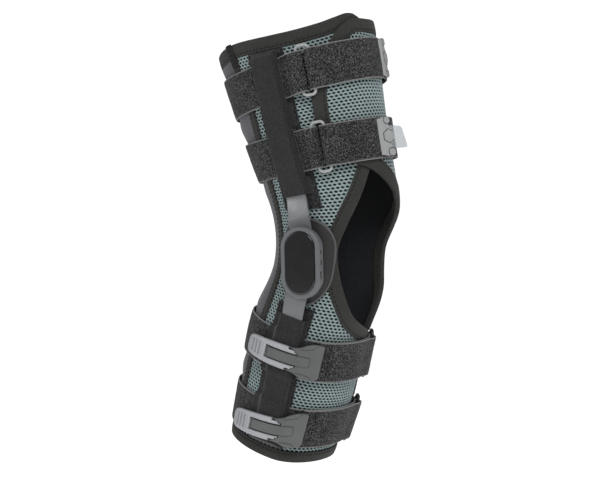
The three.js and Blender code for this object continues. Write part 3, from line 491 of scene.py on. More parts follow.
# Inner side panel, of the same spacer cloth. Its thigh part is the flap that closes over the outer panel
# across the front, and below the flap it is cut back round the kneecap.
FLAP_EDGE = np.array([  # along, angle
    [TOP, -30], [203, -14], [200.6, 5], [198.8, 18], [197, 28], [193.2, 36], [187, 42.5], [177, 50.5],
    [164, 59], [143, 66], [120, 68], [96, 67], [82, 60], [74, 47], [68, 31], [57, 15], [44, 0],
], float)
INNER_OPENING_EDGE = np.array([  # along, angle
    [44, 0], [31, -21], [17, -43], [-2, -57], [-22, -54], [-39, -42], [-51, -35], [-62, -32.2],
    [-75, -31.6],
], float)
FLAP_LIFT, FLAP_RAMP, FLAP_COLUMNS = 4.05, (-30, 6), 60
CALF_SEAM_ROOM = 1.6
flap_path = edge_path(FLAP_EDGE)
opening_path = edge_path(INNER_OPENING_EDGE)
inner_path = np.concatenate([flap_path, opening_path[1:]])


def flap_bed(angle):
    """The flap climbs onto the outer panel between two angles."""
    return FLAP_LIFT * smooth_step(angle, *FLAP_RAMP)


def inner_front(along):
    """The inner panel's front edge: flap, opening, then the calf seam."""
    free = np.interp(along, inner_path[::-1, 0], inner_path[::-1, 1])
    return np.where(along < INNER_OPENING_EDGE[-1, 0], CALF_SEAM - CALF_SEAM_ROOM, free)


def inner_back(along):
    """The inner panel's back edge, the outer one's mirrored."""
    return -outer_back(along)


inner_panel = make_piece(
    "inner_panel_lining",
    [thick_sheet(
        panel_grid(inner_back, inner_front, lambda a: flap_bed(a) + LINING, FLAP_COLUMNS),
        panel_grid(inner_back, inner_front, flap_bed, FLAP_COLUMNS),
    )],
    lining_cloth, ["inner_panel"],
)
net, hole_shade = net_patch(inner_back, inner_front, flap_bed, NET_MIDDLE["inner"], inner_path)
inner_net = make_piece("inner_net", [net], net_cloth, marks={"hole": hole_shade})


# Back panel. Smooth dark stretch knit behind the knee, sewn between the two side panels.
# It swells a little between the straps, where nothing holds it in.
PANEL = 2.4
SWELL = {"height": 1.6, "from_strap": (18, 34), "from_back": (48, 25), "from_knee": (204, 184)}
STRAP_MIDDLES = np.array([160.0, 91.5, -101.5, -168.0])


def knit_lift(along, angle, lift):
    """Lift plus a swell that is nothing at a strap and at the seams and full midway between straps."""
    from_strap = np.abs(along[..., None] - STRAP_MIDDLES).min(axis=-1)
    free = smooth_step(from_strap, *SWELL["from_strap"])
    free = free * smooth_step(np.abs(angle - 180), *SWELL["from_back"])
    return lift + SWELL["height"] * free * smooth_step(np.abs(along), *SWELL["from_knee"])


def knit_grid(lift, rows=201, columns=36):
    """Rows down the leg, each an even run of angles from one back seam to the other."""
    along, share = np.meshgrid(np.linspace(TOP, BOTTOM, rows), np.linspace(0, 1, columns), indexing="ij")
    low = back_seam(along) + SEAM_GAP / 2
    angle = low + (360 - 2 * low) * share
    return on_leg(trim(along, angle), angle, knit_lift(along, angle, lift))


stretch_knit = fleck_material(
    "stretch_knit", (0.05, 0.047, 0.056), (0.095, 0.09, 0.1), per_metre=2200, amount=0.7, bump=0.0002,
    roughness=0.8, sheen=0.2,
)
knit = thick_sheet(knit_grid(PANEL), knit_grid(0.0))
back_panel = make_piece("back_panel_knit", [knit], stretch_knit, ["back_panel"])


# Bindings. Black tape folded over every free edge of the panels and held by one row of lock stitches
# near its inner side; the stitches pull a shallow channel into the tape.
TAPE, BINDING_GAP = 0.7, 0.55
TOP_BINDING, EDGE_BINDING, BOTTOM_BINDING = 12, 11.5, 10
BINDING_EASE = (TOP - 22, TOP - 2)
BINDING_RIM = 0.45  # share of the tape's thickness at its cut edges
BINDING_LEG = {"lift": 2.75, "step": 0.5, "crown": 0.3, "dip": 0.35, "dip_width": 0.9}
BINDING_FOLD = {"past": 0.75, "foot": 0.2}
STITCH = {"pitch": 4.2, "length": 2.8, "radius": 0.55, "inset": 2.6, "start": 0.4}
SPINDLE = np.array([0.35, 0.85, 1, 0.85, 0.35])  # share of a stitch's radius along it


def path_frame(path, closed=False):
    """Direction of a path of (along, angle) rows, up and round the leg, smoothed where the path is open.
    Also the millimetres in a degree at each row."""
    size = per_degree(path[:, 0], path[:, 1])
    if closed:
        around = np.concatenate([path[-1:], path, path[:1]])
        step = around[2:] - around[:-2]
        step[:, 1] = (step[:, 1] + 180) % 360 - 180
    else:
        wrapped = np.unwrap(path[:, 1], period=360)
        step = np.stack([np.gradient(path[:, 0]), np.gradient(wrapped)], axis=1)
    up, across = step[:, 0], step[:, 1] * size
    if not closed:
        soften = np.ones(5) / 5
        up = np.convolve(np.pad(up, 2, mode="edge"), soften, mode="valid")
        across = np.convolve(np.pad(across, 2, mode="edge"), soften, mode="valid")
    length = np.hypot(up, across)
    return up / length, across / length, size


def strip_points(path, across, lift, bed, closed=False):
    """Points beside a path: so far to its right, seen from outside, and so far above the bed."""
    up, side, size = path_frame(path, closed)
    angle = path[:, 1:] - across * (up / size)[:, None]
    along = path[:, :1] + across * side[:, None]
    return on_leg(along, angle, lift + bed(angle))


def binding_line(width, side, whole):
    """The folded tape's middle line, across and up: a crowned outer leg that dips at its stitches, a round
    fold past the panel's edge and, where whole, a flat inner leg."""
    run = np.concatenate([np.linspace(1, 0.12, 22), np.linspace(0.1, 0, 3)])
    dip = np.exp(-(((1 - run) * width - STITCH["inset"]) / BINDING_LEG["dip_width"]) ** 2)
    end = smooth_step(1 - run, 0.0, 0.06)
    leg = BINDING_LEG["lift"] + BINDING_LEG["step"] * end + BINDING_LEG["crown"] * np.sin(np.pi * run)
    leg = leg - BINDING_LEG["dip"] * dip
    turn = np.linspace(0, np.pi, 9)[1:-1]
    top, foot = leg[-1], (-BINDING_GAP - TAPE / 2 if whole else BINDING_FOLD["foot"])
    fold_x = -BINDING_FOLD["past"] * np.sin(turn)
    fold_h = (top + foot) / 2 + (top - foot) / 2 * np.cos(turn)
    under = np.linspace(0, 1, 10) if whole else np.zeros(1)
    x = np.concatenate([run * width, fold_x, under * width])
    h = np.concatenate([leg, fold_h, 0 * under + foot])
    return x * side, h


def binding(path, width, side, bed, whole=True, closed=False, part=slice(None)):
    """Carries the folded tape's line along an edge, half the tape's thickness to each side of it.
    part takes one stretch of the edge, so that two tapes on the same edge meet without a step."""
    lines = [binding_line(w, side, whole) for w in np.broadcast_to(width, len(path))]
    x, h = (np.stack(v) for v in zip(*lines))
    dx, dh = np.gradient(x, axis=1), np.gradient(h, axis=1)
    length = np.hypot(dx, dh)
    nx, nh = -dh / length * TAPE / 2, dx / length * TAPE / 2
    thin = np.ones(x.shape[1])
    thin[[0, -1]] = BINDING_RIM
    return thick_sheet(
        strip_points(path, x + nx * thin, h + nh * thin, bed, closed)[part],
        strip_points(path, x - nx * thin, h - nh * thin, bed, closed)[part],
        closed,
    )


def stitch_row(path, across, lift, bed, closed=False):
    """Stitches along a path, so far across it and above its bed."""
    across = np.broadcast_to(across, (len(path), 1))
    line, above = (strip_points(path, across, lift + more, bed, closed)[:, 0] for more in (0.0, 1.0))
    return spindles(line, above - line)


def spindles(line, out):
    """Stitches of one length at an even pitch along a line of points, raised on the given outward side.
    Each is a spindle: as many rings as the table has rows, with as many points, thin at both ends."""
    run = run_along(line)
    last = max(run[-1] - STITCH["length"], STITCH["start"] + 0.1)
    start = np.arange(STITCH["start"], last, STITCH["pitch"])
    count = len(SPINDLE)
    at = start[:, None] + np.linspace(0, 1, count) * STITCH["length"]
    middle, lift = (
        np.stack([np.interp(at, run, values[:, k]) for k in range(3)], axis=-1) for values in (line, out)
    )
    lift = unit(lift)
    side = unit(np.cross(np.gradient(middle, axis=1), lift))
    turn = np.linspace(0, 2 * np.pi, count, endpoint=False)[:, None]
    ring = lift[:, :, None] * np.cos(turn) + side[:, :, None] * np.sin(turn)
    points = (middle[:, :, None] + STITCH["radius"] * SPINDLE[:, None, None] * ring).reshape(-1, 3)
    body = grid_faces(count, count, False, True)
    each = np.arange(len(start))[:, None, None] * count**2
    _, quads = outward(points, (body[None] + each).reshape(-1, 4))
    ends = np.stack([np.arange(count)[::-1], np.arange(count**2 - count, count**2)])
    caps = ends[:, ::-1] if (quads[0] != body[0]).any() else ends
    return points, quads, (caps[None] + each).reshape(-1, count)


def unit(v):
    """Vectors of length 1 in the given directions."""
    return v / np.linalg.norm(v, axis=-1, keepdims=True)


def trimmed(path):
    """The path once the sleeve's ends are shaped."""
    return np.stack([trim(path[:, 0], path[:, 1]), path[:, 1]], axis=1)


def level_path(along, start, end, spacing=1.6):
    """A path round the leg at one height, from one angle to another."""
    angle = np.linspace(start, end, int(abs(end - start) / spacing) + 1)
    return np.stack([0 * angle + along, angle], axis=1)


def edge_width(path):
    """Binding width: broader on the top edge, easing to the narrower tape down the free edges."""
    return EDGE_BINDING + (TOP_BINDING - EDGE_BINDING) * smooth_step(path[:, 0], *BINDING_EASE)


def tape_finish(name, ground, fleck):
    """Ribbed black tape."""
    return fleck_material(
        name, ground, fleck, per_metre=1700, amount=0.7, bump=0.00025, roughness=0.85, sheen=0.05,
    )


binding_tape = tape_finish("binding_tape", (0.019, 0.019, 0.018), (0.06, 0.06, 0.057))
sewing_thread = fleck_material(
    "sewing_thread", (0.005, 0.005, 0.005), (0.018, 0.018, 0.018), per_metre=2500, amount=0.6, bump=0.0001,
    roughness=0.7,
)
END_GAP = 0.3  # degrees left at a tape's end
STITCH_LIFT = 3.4
outer_edge_path = np.concatenate([level_path(TOP, outer_back(TOP), OUTER_EDGE[0, 1])[:-1], outer_path])
inner_top_path = level_path(TOP, inner_back(TOP), FLAP_EDGE[0, 1] - END_GAP)
back_top_path = level_path(TOP, 360 - back_seam(TOP) - 2 * END_GAP, back_seam(TOP) + 2 * END_GAP)
bottom_path = level_path(BOTTOM, 0, 360)[:-1]
whole_edge = slice(None)
flap_part, opening_part = slice(0, len(flap_path)), slice(len(flap_path) - 1, None)
outer_width, inner_width = edge_width(outer_edge_path), edge_width(inner_path)
BINDINGS = [  # name, path, width, side, bed, whole, closed, part
    ("outer_binding", outer_edge_path, outer_width, 1, no_bed, True, False, whole_edge),
    ("inner_top_binding", inner_top_path, TOP_BINDING, -1, flap_bed, True, False, whole_edge),
    ("flap_binding", inner_path, inner_width, -1, flap_bed, False, False, flap_part),
    ("inner_opening_binding", inner_path, inner_width, -1, flap_bed, True, False, opening_part),
    ("back_top_binding", back_top_path, TOP_BINDING, 1, no_bed, True, False, whole_edge),
    ("bottom_binding", bottom_path, BOTTOM_BINDING, 1, no_bed, True, True, whole_edge),
]
panel_stitches = []
for name, path, width, side, bed, whole, closed, part in BINDINGS:
    tape_path = trimmed(path)
    patch = binding(tape_path, width, side, bed, whole, closed, part)
    piece = make_piece(name + "_tape", [patch], binding_tape, [name])
    run = run_along(on_leg(*tape_path[part].T, CLOTH_LIFT))[-1] / 1000
    row = (np.broadcast_to(width, len(path)) - STITCH["inset"])[:, None] * side
    if name != "flap_binding":  # its row is part of the opening binding's, on the same path
        panel_stitches.append(stitch_row(tape_path, row, STITCH_LIFT, bed, closed))


# Seam tapes. Flat black tape sewn over the two back seams and the calf seam, a stitch row at each edge.
# The tape's top end is turned over and tacked down on the top binding.
SEAM_TAPE, TAPE_LIFT = 10, 2.85
SEAM_ROW_INSET, SEAM_ROW_RISE = 1.5, 0.4
SEAM_RUN, CALF_SEAM_RUN = (TOP - 14, BOTTOM + 12), (-90, BOTTOM + 14)
TACK = {"width": 9, "from": 205.3, "to": 183, "lift": 4.3, "thick": 1.2, "crown": 1.5, "shift": 1}
TACK_ROWS = {"across": (-2.2, 0, 2.2), "rise": 1.95, "fall": 0.17}


def edge_crowded(count, part=1.0):
    """A row from -1 to 1 that is closer towards its ends: the given part of a sine's quarter, each way."""
    quarter = np.pi / 2 * part
    return np.sin(np.linspace(-1, 1, count) * quarter) / math.sin(quarter)


def ribbon(path, width, lift, thick, bed=no_bed, crown=0.25, columns=13):
    """A flat band along a path, a little crowned, its edges rounded, its ends drawn in to half thickness."""
    share = edge_crowded(columns)
    across = np.broadcast_to(share * width / 2, (len(path), columns))
    half = thick / 2 * np.sqrt(np.clip(1 - share**8, 0.12, 1))
    middle = lift + crown * (1 - share**2)
    ends = np.ones(len(path))
    ends[[0, -1]] = 0.5
    spread = half[None, :] * ends[:, None]
    return thick_sheet(
        strip_points(path, across, middle + spread, bed),
        strip_points(path, across, middle - spread, bed),
    )


tape_run = np.linspace(*SEAM_RUN, 170)
calf_run = np.linspace(*CALF_SEAM_RUN, 48)
TAPE_SHIFT = 0.8  # degrees, which puts the calf tape over both panels' edges
SEAMS = [  # name, path
    ("outer_seam_tape", np.stack([tape_run, back_seam(tape_run)], axis=1)),
    ("inner_seam_tape", np.stack([tape_run, -back_seam(tape_run)], axis=1)),
    ("calf_seam_tape", np.stack([calf_run, 0 * calf_run + CALF_SEAM - TAPE_SHIFT], axis=1)),
]
for name, path in SEAMS:
    tape_path = trimmed(path)
    band = ribbon(tape_path, SEAM_TAPE, TAPE_LIFT, TAPE)
    piece = make_piece(name + "_band", [band], binding_tape, [name])
    run = run_along(on_leg(*tape_path.T, CLOTH_LIFT))[-1] / 1000
    for edge in (-1, 1):
        row = edge * (SEAM_TAPE / 2 - SEAM_ROW_INSET)
        panel_stitches.append(stitch_row(tape_path, row, TAPE_LIFT + SEAM_ROW_RISE, no_bed))
tack_tape = tape_finish("tack_tape", (0.009, 0.009, 0.009), (0.03, 0.03, 0.029))
for name, side in (("outer_seam_tack", 1), ("inner_seam_tack", -1)):
    run = np.linspace(TACK["from"], TACK["to"], 15)
    tack_path = trimmed(np.stack([run, side * (back_seam(run) - TACK["shift"])], axis=1))
    tack = ribbon(tack_path, TACK["width"], TACK["lift"], TACK["thick"], crown=TACK["crown"])
    make_piece(name, [tack], tack_tape)
    for edge in TACK_ROWS["across"]:
        rise = TACK_ROWS["rise"] - TACK_ROWS["fall"] * abs(edge)
        panel_stitches.append(stitch_row(tack_path, edge, TACK["lift"] + rise, no_bed))
make_piece("panel_stitches", panel_stitches, sewing_thread)


# Pocket bases. Strips of black loop cloth sewn flat on the side panels under the hinge bars, one on the
# thigh and one on the calf of each side; the straps run over them.
HINGE_LINE = np.array([[-190, 96], [-60, 98], [-11, 95], [52, 100], [190, 98]], float)  # along, angle
hinge_line = curve_through(HINGE_LINE, 1)
SIDES = (("outer", False), ("inner", True))
POCKETS = {
    "thigh": {"base": 38, "open": 52, "closed": 187, "arm": 183, "half": 13.4, "front": 22, "back": 19,
              "margin": (5.5, 0.0)},
    "calf": {"base": -55, "open": -66, "closed": -191, "arm": -180, "half": 16, "front": 22.5, "back": 23,
             "margin": (4.0, 6.0)},
}
BASE_LIFT, BASE_THICK, STRAP_LIFT, ARM_LIFT = 2.8, 1.0, 4.2, 6.2
BASE_ROUND = {"drop": 0.35, "width": 1.2}
BASE_ROUGH = {"height": 0.12, "waves": ((2.9, 1.3), (1.1, -2.3))}  # radians for each millimetre along, across


def on_side(patch, is_inner):
    """The patch itself on the outer side; on the inner side its mirror image, its faces turned outward."""
    points, *sets = patch
    return (points * [-1, 1, 1], *[faces[:, ::-1] for faces in sets]) if is_inner else patch


def leg_frame(along, angle, lift):
    """Directions at a place on the leg: round it, up it and outward, all square to each other."""
    around = unit(on_leg(along, angle + 0.5, lift) - on_leg(along, angle - 0.5, lift))
    up = unit(on_leg(along + 1, angle, lift) - on_leg(along - 1, angle, lift))
    up = unit(up - (up * around).sum(axis=-1, keepdims=True) * around)
    out = np.cross(around, up)
    away = on_leg(along, angle, lift + 1) - on_leg(along, angle, lift)
    out = out * np.sign((out * away).sum(axis=-1, keepdims=True))
    return around, up, out


def pocket_base(pocket):
    """A strip with the hinge line near its middle; its ragged loops lift and drop its face a little."""
    along = np.linspace(pocket["base"], pocket["closed"] + math.copysign(1.0, pocket["closed"]), 90)[:, None]
    across = np.linspace(-pocket["front"], pocket["back"], 30)[None, :]
    middle = hinge_line(along)
    angle = middle + across / per_degree(along, middle, BASE_LIFT)
    rough = BASE_ROUGH["height"] * sum(np.sin(along * a + across * b) for a, b in BASE_ROUGH["waves"])
    edge = np.minimum(pocket["front"] + across, pocket["back"] - across)
    round_off = BASE_ROUND["drop"] * (1 - smooth_step(edge, 0, BASE_ROUND["width"]))
    outer = on_leg(along, angle, BASE_LIFT + BASE_THICK + rough - round_off)
    return thick_sheet(outer, on_leg(along, angle, BASE_LIFT + 0 * across))


loop_cloth = fleck_material(
    "loop_cloth", (0.008, 0.008, 0.009), (0.075, 0.075, 0.078), per_metre=800, amount=0.75, bump=0.0008,
    roughness=0.95, sheen=0.05,
)
for side, is_inner in SIDES:
    for place, pocket in POCKETS.items():
        node = f"{side}_{place}_pocket_base"
        patch = on_side(pocket_base(pocket), is_inner)
        piece = make_piece(node + "_cloth", [patch], loop_cloth, [node])


# Hinge bars. Flat grey-coated metal, 22 mm wide, running from the hinge up the thigh and down the calf.
# Each bar is bent just past the hinge, to leave the hinge's plane and lie along the leg.
ARM = {"width": 22, "thick": 2.2, "round": 0.7}
ARM_BENDS = {"thigh": (30, 50), "calf": (-47, -67)}
MOUTH_DIP = {"deep": 1.8, "from": 56, "to": 70}
HINGE_ALONG, ARM_OUT, ARM_END, ARM_BEND_EASE = -11, 63.95, 1.5, 2


def bar_frame(along, bend):
    """Middle of a bar's inner face, its outward and sideways directions and the angle on the leg. Before
    the bend the bar keeps the hinge's plane; a straight slant leads in to the leg's own surface, a little
    deeper at the thigh pocket's mouth."""
    angle = hinge_line(along)
    dip = MOUTH_DIP["deep"] * (1 - smooth_step(along, MOUTH_DIP["from"], MOUTH_DIP["to"])) * (along > 0)
    place = on_leg(along, angle, ARM_LIFT - dip)
    start, end = np.abs(bend)
    shifts = (-ARM_BEND_EASE, 0, ARM_BEND_EASE)
    slant = [np.clip((np.abs(along + d) - start) / (end - start), 0, 1) for d in shifts]
    weight = np.mean(slant, axis=0)[..., None]
    out = leg_frame(along, angle, ARM_LIFT)[2]
    out = unit(out * weight + np.array([-1.0, 0, 0]) * (1 - weight))
    place[..., 0] = -ARM_OUT + (place[..., 0] + ARM_OUT) * weight[..., 0]
    before, after = (on_leg(along + d, hinge_line(along + d), ARM_LIFT) for d in (-1, 1))
    return place, out, unit(np.cross(out, after - before)), angle


def flat_bar(pocket, bend):
    """A flat section with rounded edges carried along the hinge line."""
    start = HINGE_ALONG + math.copysign(ARM_END, pocket["open"])
    along = np.linspace(start, pocket["arm"], 130)
    place, out, around, _ = bar_frame(along, bend)
    half, thick, edge = ARM["width"] / 2, ARM["thick"], ARM["round"]
    rim = np.linspace(0.93, 1, 6)
    share = np.concatenate([-rim[::-1], np.linspace(-0.8, 0.8, 7), rim])
    inset = np.clip((np.abs(share) * half - half + edge) / edge, 0, 1)
    drop = edge * (1 - np.sqrt(1 - inset**2))
    x = (share * half)[None, :, None] * around[:, None]
    outer = place[:, None] + x + (thick - drop)[None, :, None] * out[:, None]
    inner = place[:, None] + x + drop[None, :, None] * out[:, None]
    return thick_sheet(outer, inner)


# Moulded grain: a fine orange-peel surface with slow changes of shade and gloss, for coats and plastics.
grain_group, grain_in, grain_out = shader_group(
    "moulded_grain",
    [
        ("Place", "NodeSocketVector", (0, 0, 0)),
        ("Base", "NodeSocketColor", (0.2, 0.2, 0.2, 1)),
        ("Shade", "NodeSocketColor", (0.1, 0.1, 0.1, 1)),
        ("Per Metre", "NodeSocketFloat", 2500.0),
        ("Roughness", "NodeSocketFloat", 0.5),
    ],
    [("Colour", "NodeSocketColor"), ("Roughness", "NodeSocketFloat"), ("Height", "NodeSocketFloat")],
)
peel = add_node(grain_group, "ShaderNodeTexNoise", [
    ("Vector", grain_in.outputs["Place"]), ("Scale", grain_in.outputs["Per Metre"]), ("Detail", 1.0),
])
cloud = add_node(grain_group, "ShaderNodeTexNoise", [
    ("Vector", grain_in.outputs["Place"]), ("Scale", 70.0), ("Detail", 4.0), ("Roughness", 0.6),
])
cloudy = add_node(grain_group, "ShaderNodeMapRange", [
    ("Value", cloud.outputs["Fac"]), ("From Min", 0.35), ("From Max", 0.75), ("To Max", 0.5),
])
grain_mix = mix_colour(
    grain_group, cloudy.outputs["Result"], grain_in.outputs["Base"], grain_in.outputs["Shade"],
)
gloss_change = add_node(grain_group, "ShaderNodeMath", [
    (0, cloud.outputs["Fac"]), (1, 0.16),
], operation="MULTIPLY")
gloss = add_node(grain_group, "ShaderNodeMath", [
    (0, grain_in.outputs["Roughness"]), (1, gloss_change.outputs[0]),
], operation="ADD")
grain_group.links.new(grain_mix, grain_out.inputs["Colour"])
grain_group.links.new(gloss.outputs[0], grain_out.inputs["Roughness"])
grain_group.links.new(peel.outputs["Fac"], grain_out.inputs["Height"])


def moulded_material(
    name, base, shade, per_metre, roughness, bump, metallic=0.0, coat=0.0, opacity=1.0, mark=None,
):
    """A moulded or coated finish: grain in colour, gloss and bump."""
    return grouped_finish(
        name, grain_group,
        {"Base": (*base, 1), "Shade": (*shade, 1), "Per Metre": per_metre, "Roughness": roughness},
        (0.5, bump),
        {"Metallic": metallic, "Coat Weight": coat, "Coat Roughness": 0.04, "Alpha": opacity},
        mark,
    )


bar_coat = moulded_material(
    "bar_coat", (0.125, 0.128, 0.132), (0.105, 0.108, 0.112), per_metre=3000, roughness=0.3, bump=0.00008,
    metallic=0.6,
)
for side, is_inner in SIDES:
    for place, pocket in POCKETS.items():
        node = f"{side}_{place}_arm"
        patch = on_side(flat_bar(pocket, ARM_BENDS[place]), is_inner)
        make_piece(node + "_bar", [patch], bar_coat, [node])


# Pocket covers. Soft black brushed cloth drawn over each bar and over the straps that cross under it,
# sewn down along both sides; the hinge end stays open for the bar.
COVER = {"thick": 1.0, "over_bar": 0.4, "flat_half": 11.3, "foot": 0.4, "edge": 0.6}
COVER_HEM = {"flat": 5, "from": 0.86}
COVER_CLOSING = (4.5, 0.3)  # millimetres from the closed end where the cover starts and stops to fall
COVER_CREASE = {"height": 0.12, "along": 0.55, "across": 0.5, "slant": 0.07}
STRAP_HALF = 19
COVER_STEP = {"reach": STRAP_HALF + 1.5, "ramp": 3.2, "raise": 1.2, "spread": 1.4, "margin_gone": 0.4}


def pocket_cover(pocket, bend, place):
    """Across: flat over the bar, then down to the base on both sides. Along: a step up, and a little
    more width, wherever a strap passes under, and a slope down at the closed end."""
    along = np.linspace(pocket["open"], pocket["closed"], 112)
    middle, out, around, angle = bar_frame(along, bend)
    middles = STRAP_MIDDLES[STRAP_MIDDLES * pocket["open"] > 0]
    from_strap = np.abs(along[:, None] - middles).min(axis=1)
    over = 1 - smooth_step(from_strap, COVER_STEP["reach"], COVER_STEP["reach"] + COVER_STEP["ramp"])
    foot = STRAP_LIFT + (ARM_LIFT - STRAP_LIFT) * over
    half = pocket["half"] + COVER_STEP["spread"] * over
    share = edge_crowded(41)
    front, back = pocket["margin"]
    if place == "thigh":
        front = front * (1 - smooth_step(over, 0, COVER_STEP["margin_gone"]))
    margin = np.where(share < 0, -np.broadcast_to(front, len(along))[:, None], back)
    x = share * half[:, None] + margin * smooth_step(np.abs(share), COVER_HEM["from"], 1)
    ahead = on_leg(along, angle + 1, ARM_LIFT) - on_leg(along, angle, ARM_LIFT)
    side_sign = np.sign((around * ahead).sum(axis=1))
    crown = ARM["thick"] + COVER["over_bar"] + COVER_STEP["raise"] * over
    closing = smooth_step(np.abs(along - pocket["closed"]), *COVER_CLOSING)[:, None]
    fall = smooth_step(np.abs(x), COVER["flat_half"], half[:, None] - COVER["foot"])
    down = np.maximum(fall, closing)[..., None]
    degree = per_degree(along, angle, ARM_LIFT)[:, None]
    wave = np.sin(x * COVER_CREASE["across"] + along[:, None] * COVER_CREASE["slant"])
    crease = COVER_CREASE["height"] * np.sin(along * COVER_CREASE["along"])[:, None] * wave

    def face(lift):
        """The cover's surface so far above its seat: over the bar, blended down to the base."""
        top = middle[:, None] + (x * side_sign[:, None])[..., None] * around[:, None]
        top = top + (crown[:, None] + lift + crease)[..., None] * out[:, None]
        low = on_leg(along[:, None], angle[:, None] + x / degree, foot[:, None] + lift)
        return top * (1 - down) + low * down

    edge = COVER["thick"] * np.where(np.abs(share) > 0.999, COVER["edge"], 1.0)[None, :]
    return thick_sheet(face(edge), face(0 * edge))


pocket_cloth = fleck_material(
    "pocket_cloth", (0.011, 0.011, 0.0115), (0.05, 0.05, 0.052), per_metre=1100, amount=0.65, bump=0.0004,
    roughness=0.95, sheen=0.14,
)
for side, is_inner in SIDES:
    for place, pocket in POCKETS.items():
        node = f"{side}_{place}_pocket_cover"
        patch = on_side(pocket_cover(pocket, ARM_BENDS[place], place), is_inner)
        piece = make_piece(node + "_cloth", [patch], pocket_cloth, [node])


# Condyle pads. Moulded dark grey rubber under each hinge, thicker in the middle, with a raised lip round
# the rim, lighter along its crest and outer flank as a painted highlight. The pad lies over the kneecap
# binding and follows the side of the knee.
PAD = {"width": 59, "length": 83, "lift": 4.05}
PAD_PROFILE = np.array([  # share of the radius, height, painted highlight on the lip
    [0, 0, 0], [0.5, 0, 0], [0.93, 0, 0], [0.985, 0.2, 0], [1, 0.8, 0.3], [0.99, 1.5, 0.8], [0.965, 1.95, 1],
    [0.945, 2.0, 0.9], [0.925, 1.85, 0.3], [0.905, 1.6, 0], [0.88, 1.62, 0], [0.8, 1.85, 0], [0.6, 2.35, 0],
    [0.4, 2.7, 0], [0.2, 2.9, 0], [0, 2.95, 0],
])


def stadium(radius, straight, arc=40, side=56):
    """Points round a stadium: two half circles joined by straight sides. radius and straight may be
    columns, one row for each line of a profile. Returns the across and the along distances."""
    bow = np.linspace(0, np.pi, arc)
    run = np.linspace(1, -1, side + 2)[1:-1]
    turn = np.concatenate([bow, np.full(side, np.pi), bow + np.pi, np.full(side, 2 * np.pi)])
    offset = np.concatenate([np.ones(arc), run, -np.ones(arc), -run])
    return radius * np.cos(turn), straight * offset + radius * np.sin(turn)


def turned_shell(points):
    """A closed shell from rings of points, its first and last rings shut along the stadium's middle line."""
    rings, count = points.shape[:2]
    return outward(points.reshape(-1, 3), grid_faces(rings, count, False, True))


def weld(piece):
    """Joins points that lie on each other, so that shut rings leave no slit."""
    shape = bmesh.new()
    shape.from_mesh(piece.data)
    bmesh.ops.remove_doubles(shape, verts=shape.verts, dist=1e-6)
    shape.to_mesh(piece.data)
    shape.free()
    piece.data.update()
    return piece


def condyle_pad():
    """The pad's profile carried round a stadium that lies on the knee's side."""
    radius, straight = PAD["width"] / 2, (PAD["length"] - PAD["width"]) / 2
    x, y = stadium(PAD_PROFILE[:, :1] * radius, straight)
    along, middle = HINGE_ALONG + y, hinge_line(HINGE_ALONG)
    angle = middle + x / per_degree(along, middle, PAD["lift"])
    return turned_shell(on_leg(along, angle, PAD["lift"] + PAD_PROFILE[:, 1:2]))


# The lip mark paints a highlight, a lighter grey, on the lip's crest and outer flank.
pad_rubber = moulded_material(
    "pad_rubber", (0.011, 0.011, 0.011), (0.008, 0.008, 0.008), per_metre=1800, roughness=0.55, bump=0.00015,
    mark=("lip_highlight", (0.055, 0.055, 0.057)),
)
for side, is_inner in SIDES:
    patch = on_side(condyle_pad(), is_inner)
    lip_highlight = np.repeat(PAD_PROFILE[:, 2], len(patch[0]) // len(PAD_PROFILE))
    node = side + "_condyle_pad"
    pad = weld(make_piece(node + "_rubber", [patch], pad_rubber, [node], marks={"lip_highlight": lip_highlight}))


# Hinge back plates and housings. Slate grey moulded plastic with a rounded rim round the cap's recess, a
# parting groove round the wall and three small slots in its front side, painted near black with painted
# shade.
# The bars enter under it at both ends.
HINGE = {"back": 5, "lean": 1.5}
PLATE = {"radius": 18.5, "straight": 13.5, "from": 61.55, "depth": 2.0, "side": 0.1, "bevel": 0.7}
HOUSING = {"radius": 19.75, "straight": 13.75, "recess": 15.2, "recess_straight": 14.3, "floor": 7.1}
RIM = {"radius": 1.75, "height": 7.35}
LIP = {"radius": 0.6, "height": 8.5}
PARTING = {"low": 2.45, "high": 2.75, "deep": 0.35}
CHANNEL_TOP, CHANNEL_HALF = 2.75, 18.5
CHANNEL_EASE, RECESS_EASE = 0.4, 1
SLOT_DEPTH, SLOT_EDGE = 2.4, (1.12, 0.92)
SLOTS = [  # along, height, half length, half height
    (9.9, 5.2, 1.8, 1.7),
    (0.3, 4.2, 2.3, 1.8),
    (-10.9, 5.4, 2.8, 1.8),
]
rim_turn = np.radians(np.linspace(0, 90, 8))[:, None]
lip_turn = np.radians(np.linspace(90, 180, 5))[:, None]
wall_rows = np.concatenate([
    np.arange(1.9, 2.35, 0.2), [2.4, 2.5, 2.7, 2.8], np.arange(3.0, 7.3, 0.25),
])[:, None]
parting = np.where((wall_rows > PARTING["low"]) & (wall_rows < PARTING["high"]), PARTING["deep"], 0.0)
rim_top = RIM["height"] + RIM["radius"]


def round_rows(middle, height, radius, turn):
    """Rows of radius and height round an arc."""
    return np.hstack([middle + radius * np.cos(turn), height + radius * np.sin(turn)])


HOUSING_PROFILE = np.concatenate([  # radius, height
    [[0, CHANNEL_TOP], [12, CHANNEL_TOP], [CHANNEL_HALF - 0.3, CHANNEL_TOP], [CHANNEL_HALF, 0]],
    [[HOUSING["radius"] - 0.45, 0], [HOUSING["radius"], 0.5], [HOUSING["radius"], 1.5]],
    np.hstack([HOUSING["radius"] - parting, wall_rows]),
    round_rows(HOUSING["radius"] - RIM["radius"], RIM["height"], RIM["radius"], rim_turn),
    [[17.2, rim_top], [16.4, rim_top]],
    round_rows(HOUSING["recess"] + LIP["radius"], LIP["height"], LIP["radius"], lip_turn),
    [[HOUSING["recess"], HOUSING["floor"] + 0.7], [HOUSING["recess"], HOUSING["floor"]]],
    [[HOUSING["recess"] - 1.2, HOUSING["floor"]], [0, HOUSING["floor"]]],
])
WALL_FOOT = 6  # the profile's row where the outer wall starts


